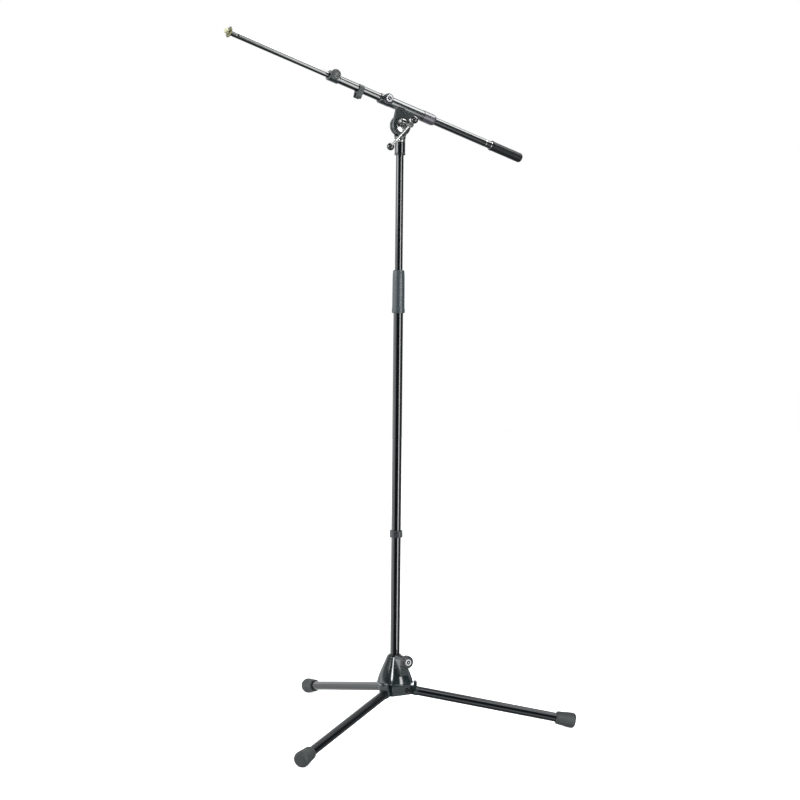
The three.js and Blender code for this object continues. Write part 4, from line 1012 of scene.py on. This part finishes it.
def near(angle, centre, half, soft):
    """1 within half of centre, falling to 0 over soft, in degrees."""
    node = sky_nodes.new("ShaderNodeMapRange")
    node.interpolation_type = "SMOOTHSTEP"
    node.inputs["From Min"].default_value = half + soft
    node.inputs["From Max"].default_value = half
    sky_links.new(number("ABSOLUTE", number("SUBTRACT", angle, centre)), node.inputs["Value"])
    return node.outputs["Result"]


look = sky_nodes.new("ShaderNodeTexCoord").outputs["Generated"]
to_right = along(look, (TURN_COS, -TURN_SIN, 0))
to_back = along(look, (TURN_SIN, TURN_COS, 0))
to_top = along(look, (0, 0, 1))
IN_DEGREES = 180 / math.pi
to_front = number("MULTIPLY", to_back, -1)
azimuth = number("MULTIPLY", number("ARCTAN2", to_right, to_front), IN_DEGREES)
elevation = number("MULTIPLY", number("ARCSINE", to_top), IN_DEGREES)

# Panels far off around the stand: azimuth to the right of the camera's side, elevation, half
# width, half height and softness, all in degrees, and strength. One behind the stand is given
# from both sides, at 180 and -180.
PANELS = (
    (0, -36, 75, 12, 12, 1.6),
    (180, -30, 85, 22, 12, 0.3),
    (-180, -30, 85, 22, 12, 1.0),
    (180, 18, 60, 12, 6, 0.9),
    (-180, 18, 60, 12, 6, 0.9),
    (180, 48, 55, 14, 8, 0.8),
    (-180, 48, 55, 14, 8, 0.8),
    (0, -90, 180, 40, 15, 0.2),
    (0, 90, 180, 35, 20, 0.15),
    (-80, 0, 34, 9, 8, 3.0),
    (-105, 26, 30, 14, 10, 0.6),
    (-150, 0, 20, 22, 10, 0.7),
    (-17, 31, 3, 5, 3, 40),
    (72, -4, 8, 12, 6, 0.8),
    (5, 50, 7, 3, 5, 1.6),
    (32, 56, 12, 8, 8, 4),
)
SKY_DIM = 0.02  # between the panels
glow = SKY_DIM
for az, el, half_az, half_el, soft, strength in PANELS:
    shape = number("MULTIPLY", near(azimuth, az, half_az, soft), near(elevation, el, half_el, soft))
    glow = number("ADD", glow, number("MULTIPLY", shape, strength))
out = sky_nodes.new("ShaderNodeOutputWorld")
panels = sky_nodes.new("ShaderNodeBackground")
panels.inputs["Color"].default_value = (0.95, 0.98, 1, 1)
sky_links.new(glow, panels.inputs["Strength"])
backdrop = sky_nodes.new("ShaderNodeBackground")
backdrop.inputs["Color"].default_value = (1, 1, 1, 1)
rays = sky_nodes.new("ShaderNodeLightPath")
blend = sky_nodes.new("ShaderNodeMixShader")
sky_links.new(rays.outputs["Is Camera Ray"], blend.inputs[0])
sky_links.new(panels.outputs[0], blend.inputs[1])
sky_links.new(backdrop.outputs[0], blend.inputs[2])
sky_links.new(blend.outputs[0], out.inputs[0])
scene.view_settings.view_transform = "Standard"

# ------------------------------------------------------------------ camera

PITCH, ROLL, YAW = math.radians(4.0848), math.radians(0.5797), math.radians(0.0787)
DISTANCE, HEIGHT = 3.5, 0.8603
FOCAL_PIXELS, IMAGE_PIXELS, SENSOR = 1907.4, 800, 36
forward = Vector((math.sin(YAW) * math.cos(PITCH), math.cos(YAW) * math.cos(PITCH),
                  -math.sin(PITCH)))
level = Vector((math.cos(YAW), -math.sin(YAW), 0))
upward = level.cross(forward)
right = level * math.cos(ROLL) + upward * math.sin(ROLL)
upward = upward * math.cos(ROLL) - level * math.sin(ROLL)
axes = Matrix((right, upward, -forward)).transposed()
camera_data = bpy.data.cameras.new("camera")
camera_data.sensor_width = SENSOR
camera_data.lens = FOCAL_PIXELS * SENSOR / IMAGE_PIXELS
camera_data.clip_start, camera_data.clip_end = 0.05, 50
camera = bpy.data.objects.new("camera", camera_data)
scene.collection.objects.link(camera)
turn = Matrix.Rotation(-VIEW_TURN, 4, "Z")
camera.matrix_world = turn @ at(0, -DISTANCE, HEIGHT) @ axes.to_4x4()
scene.camera = camera
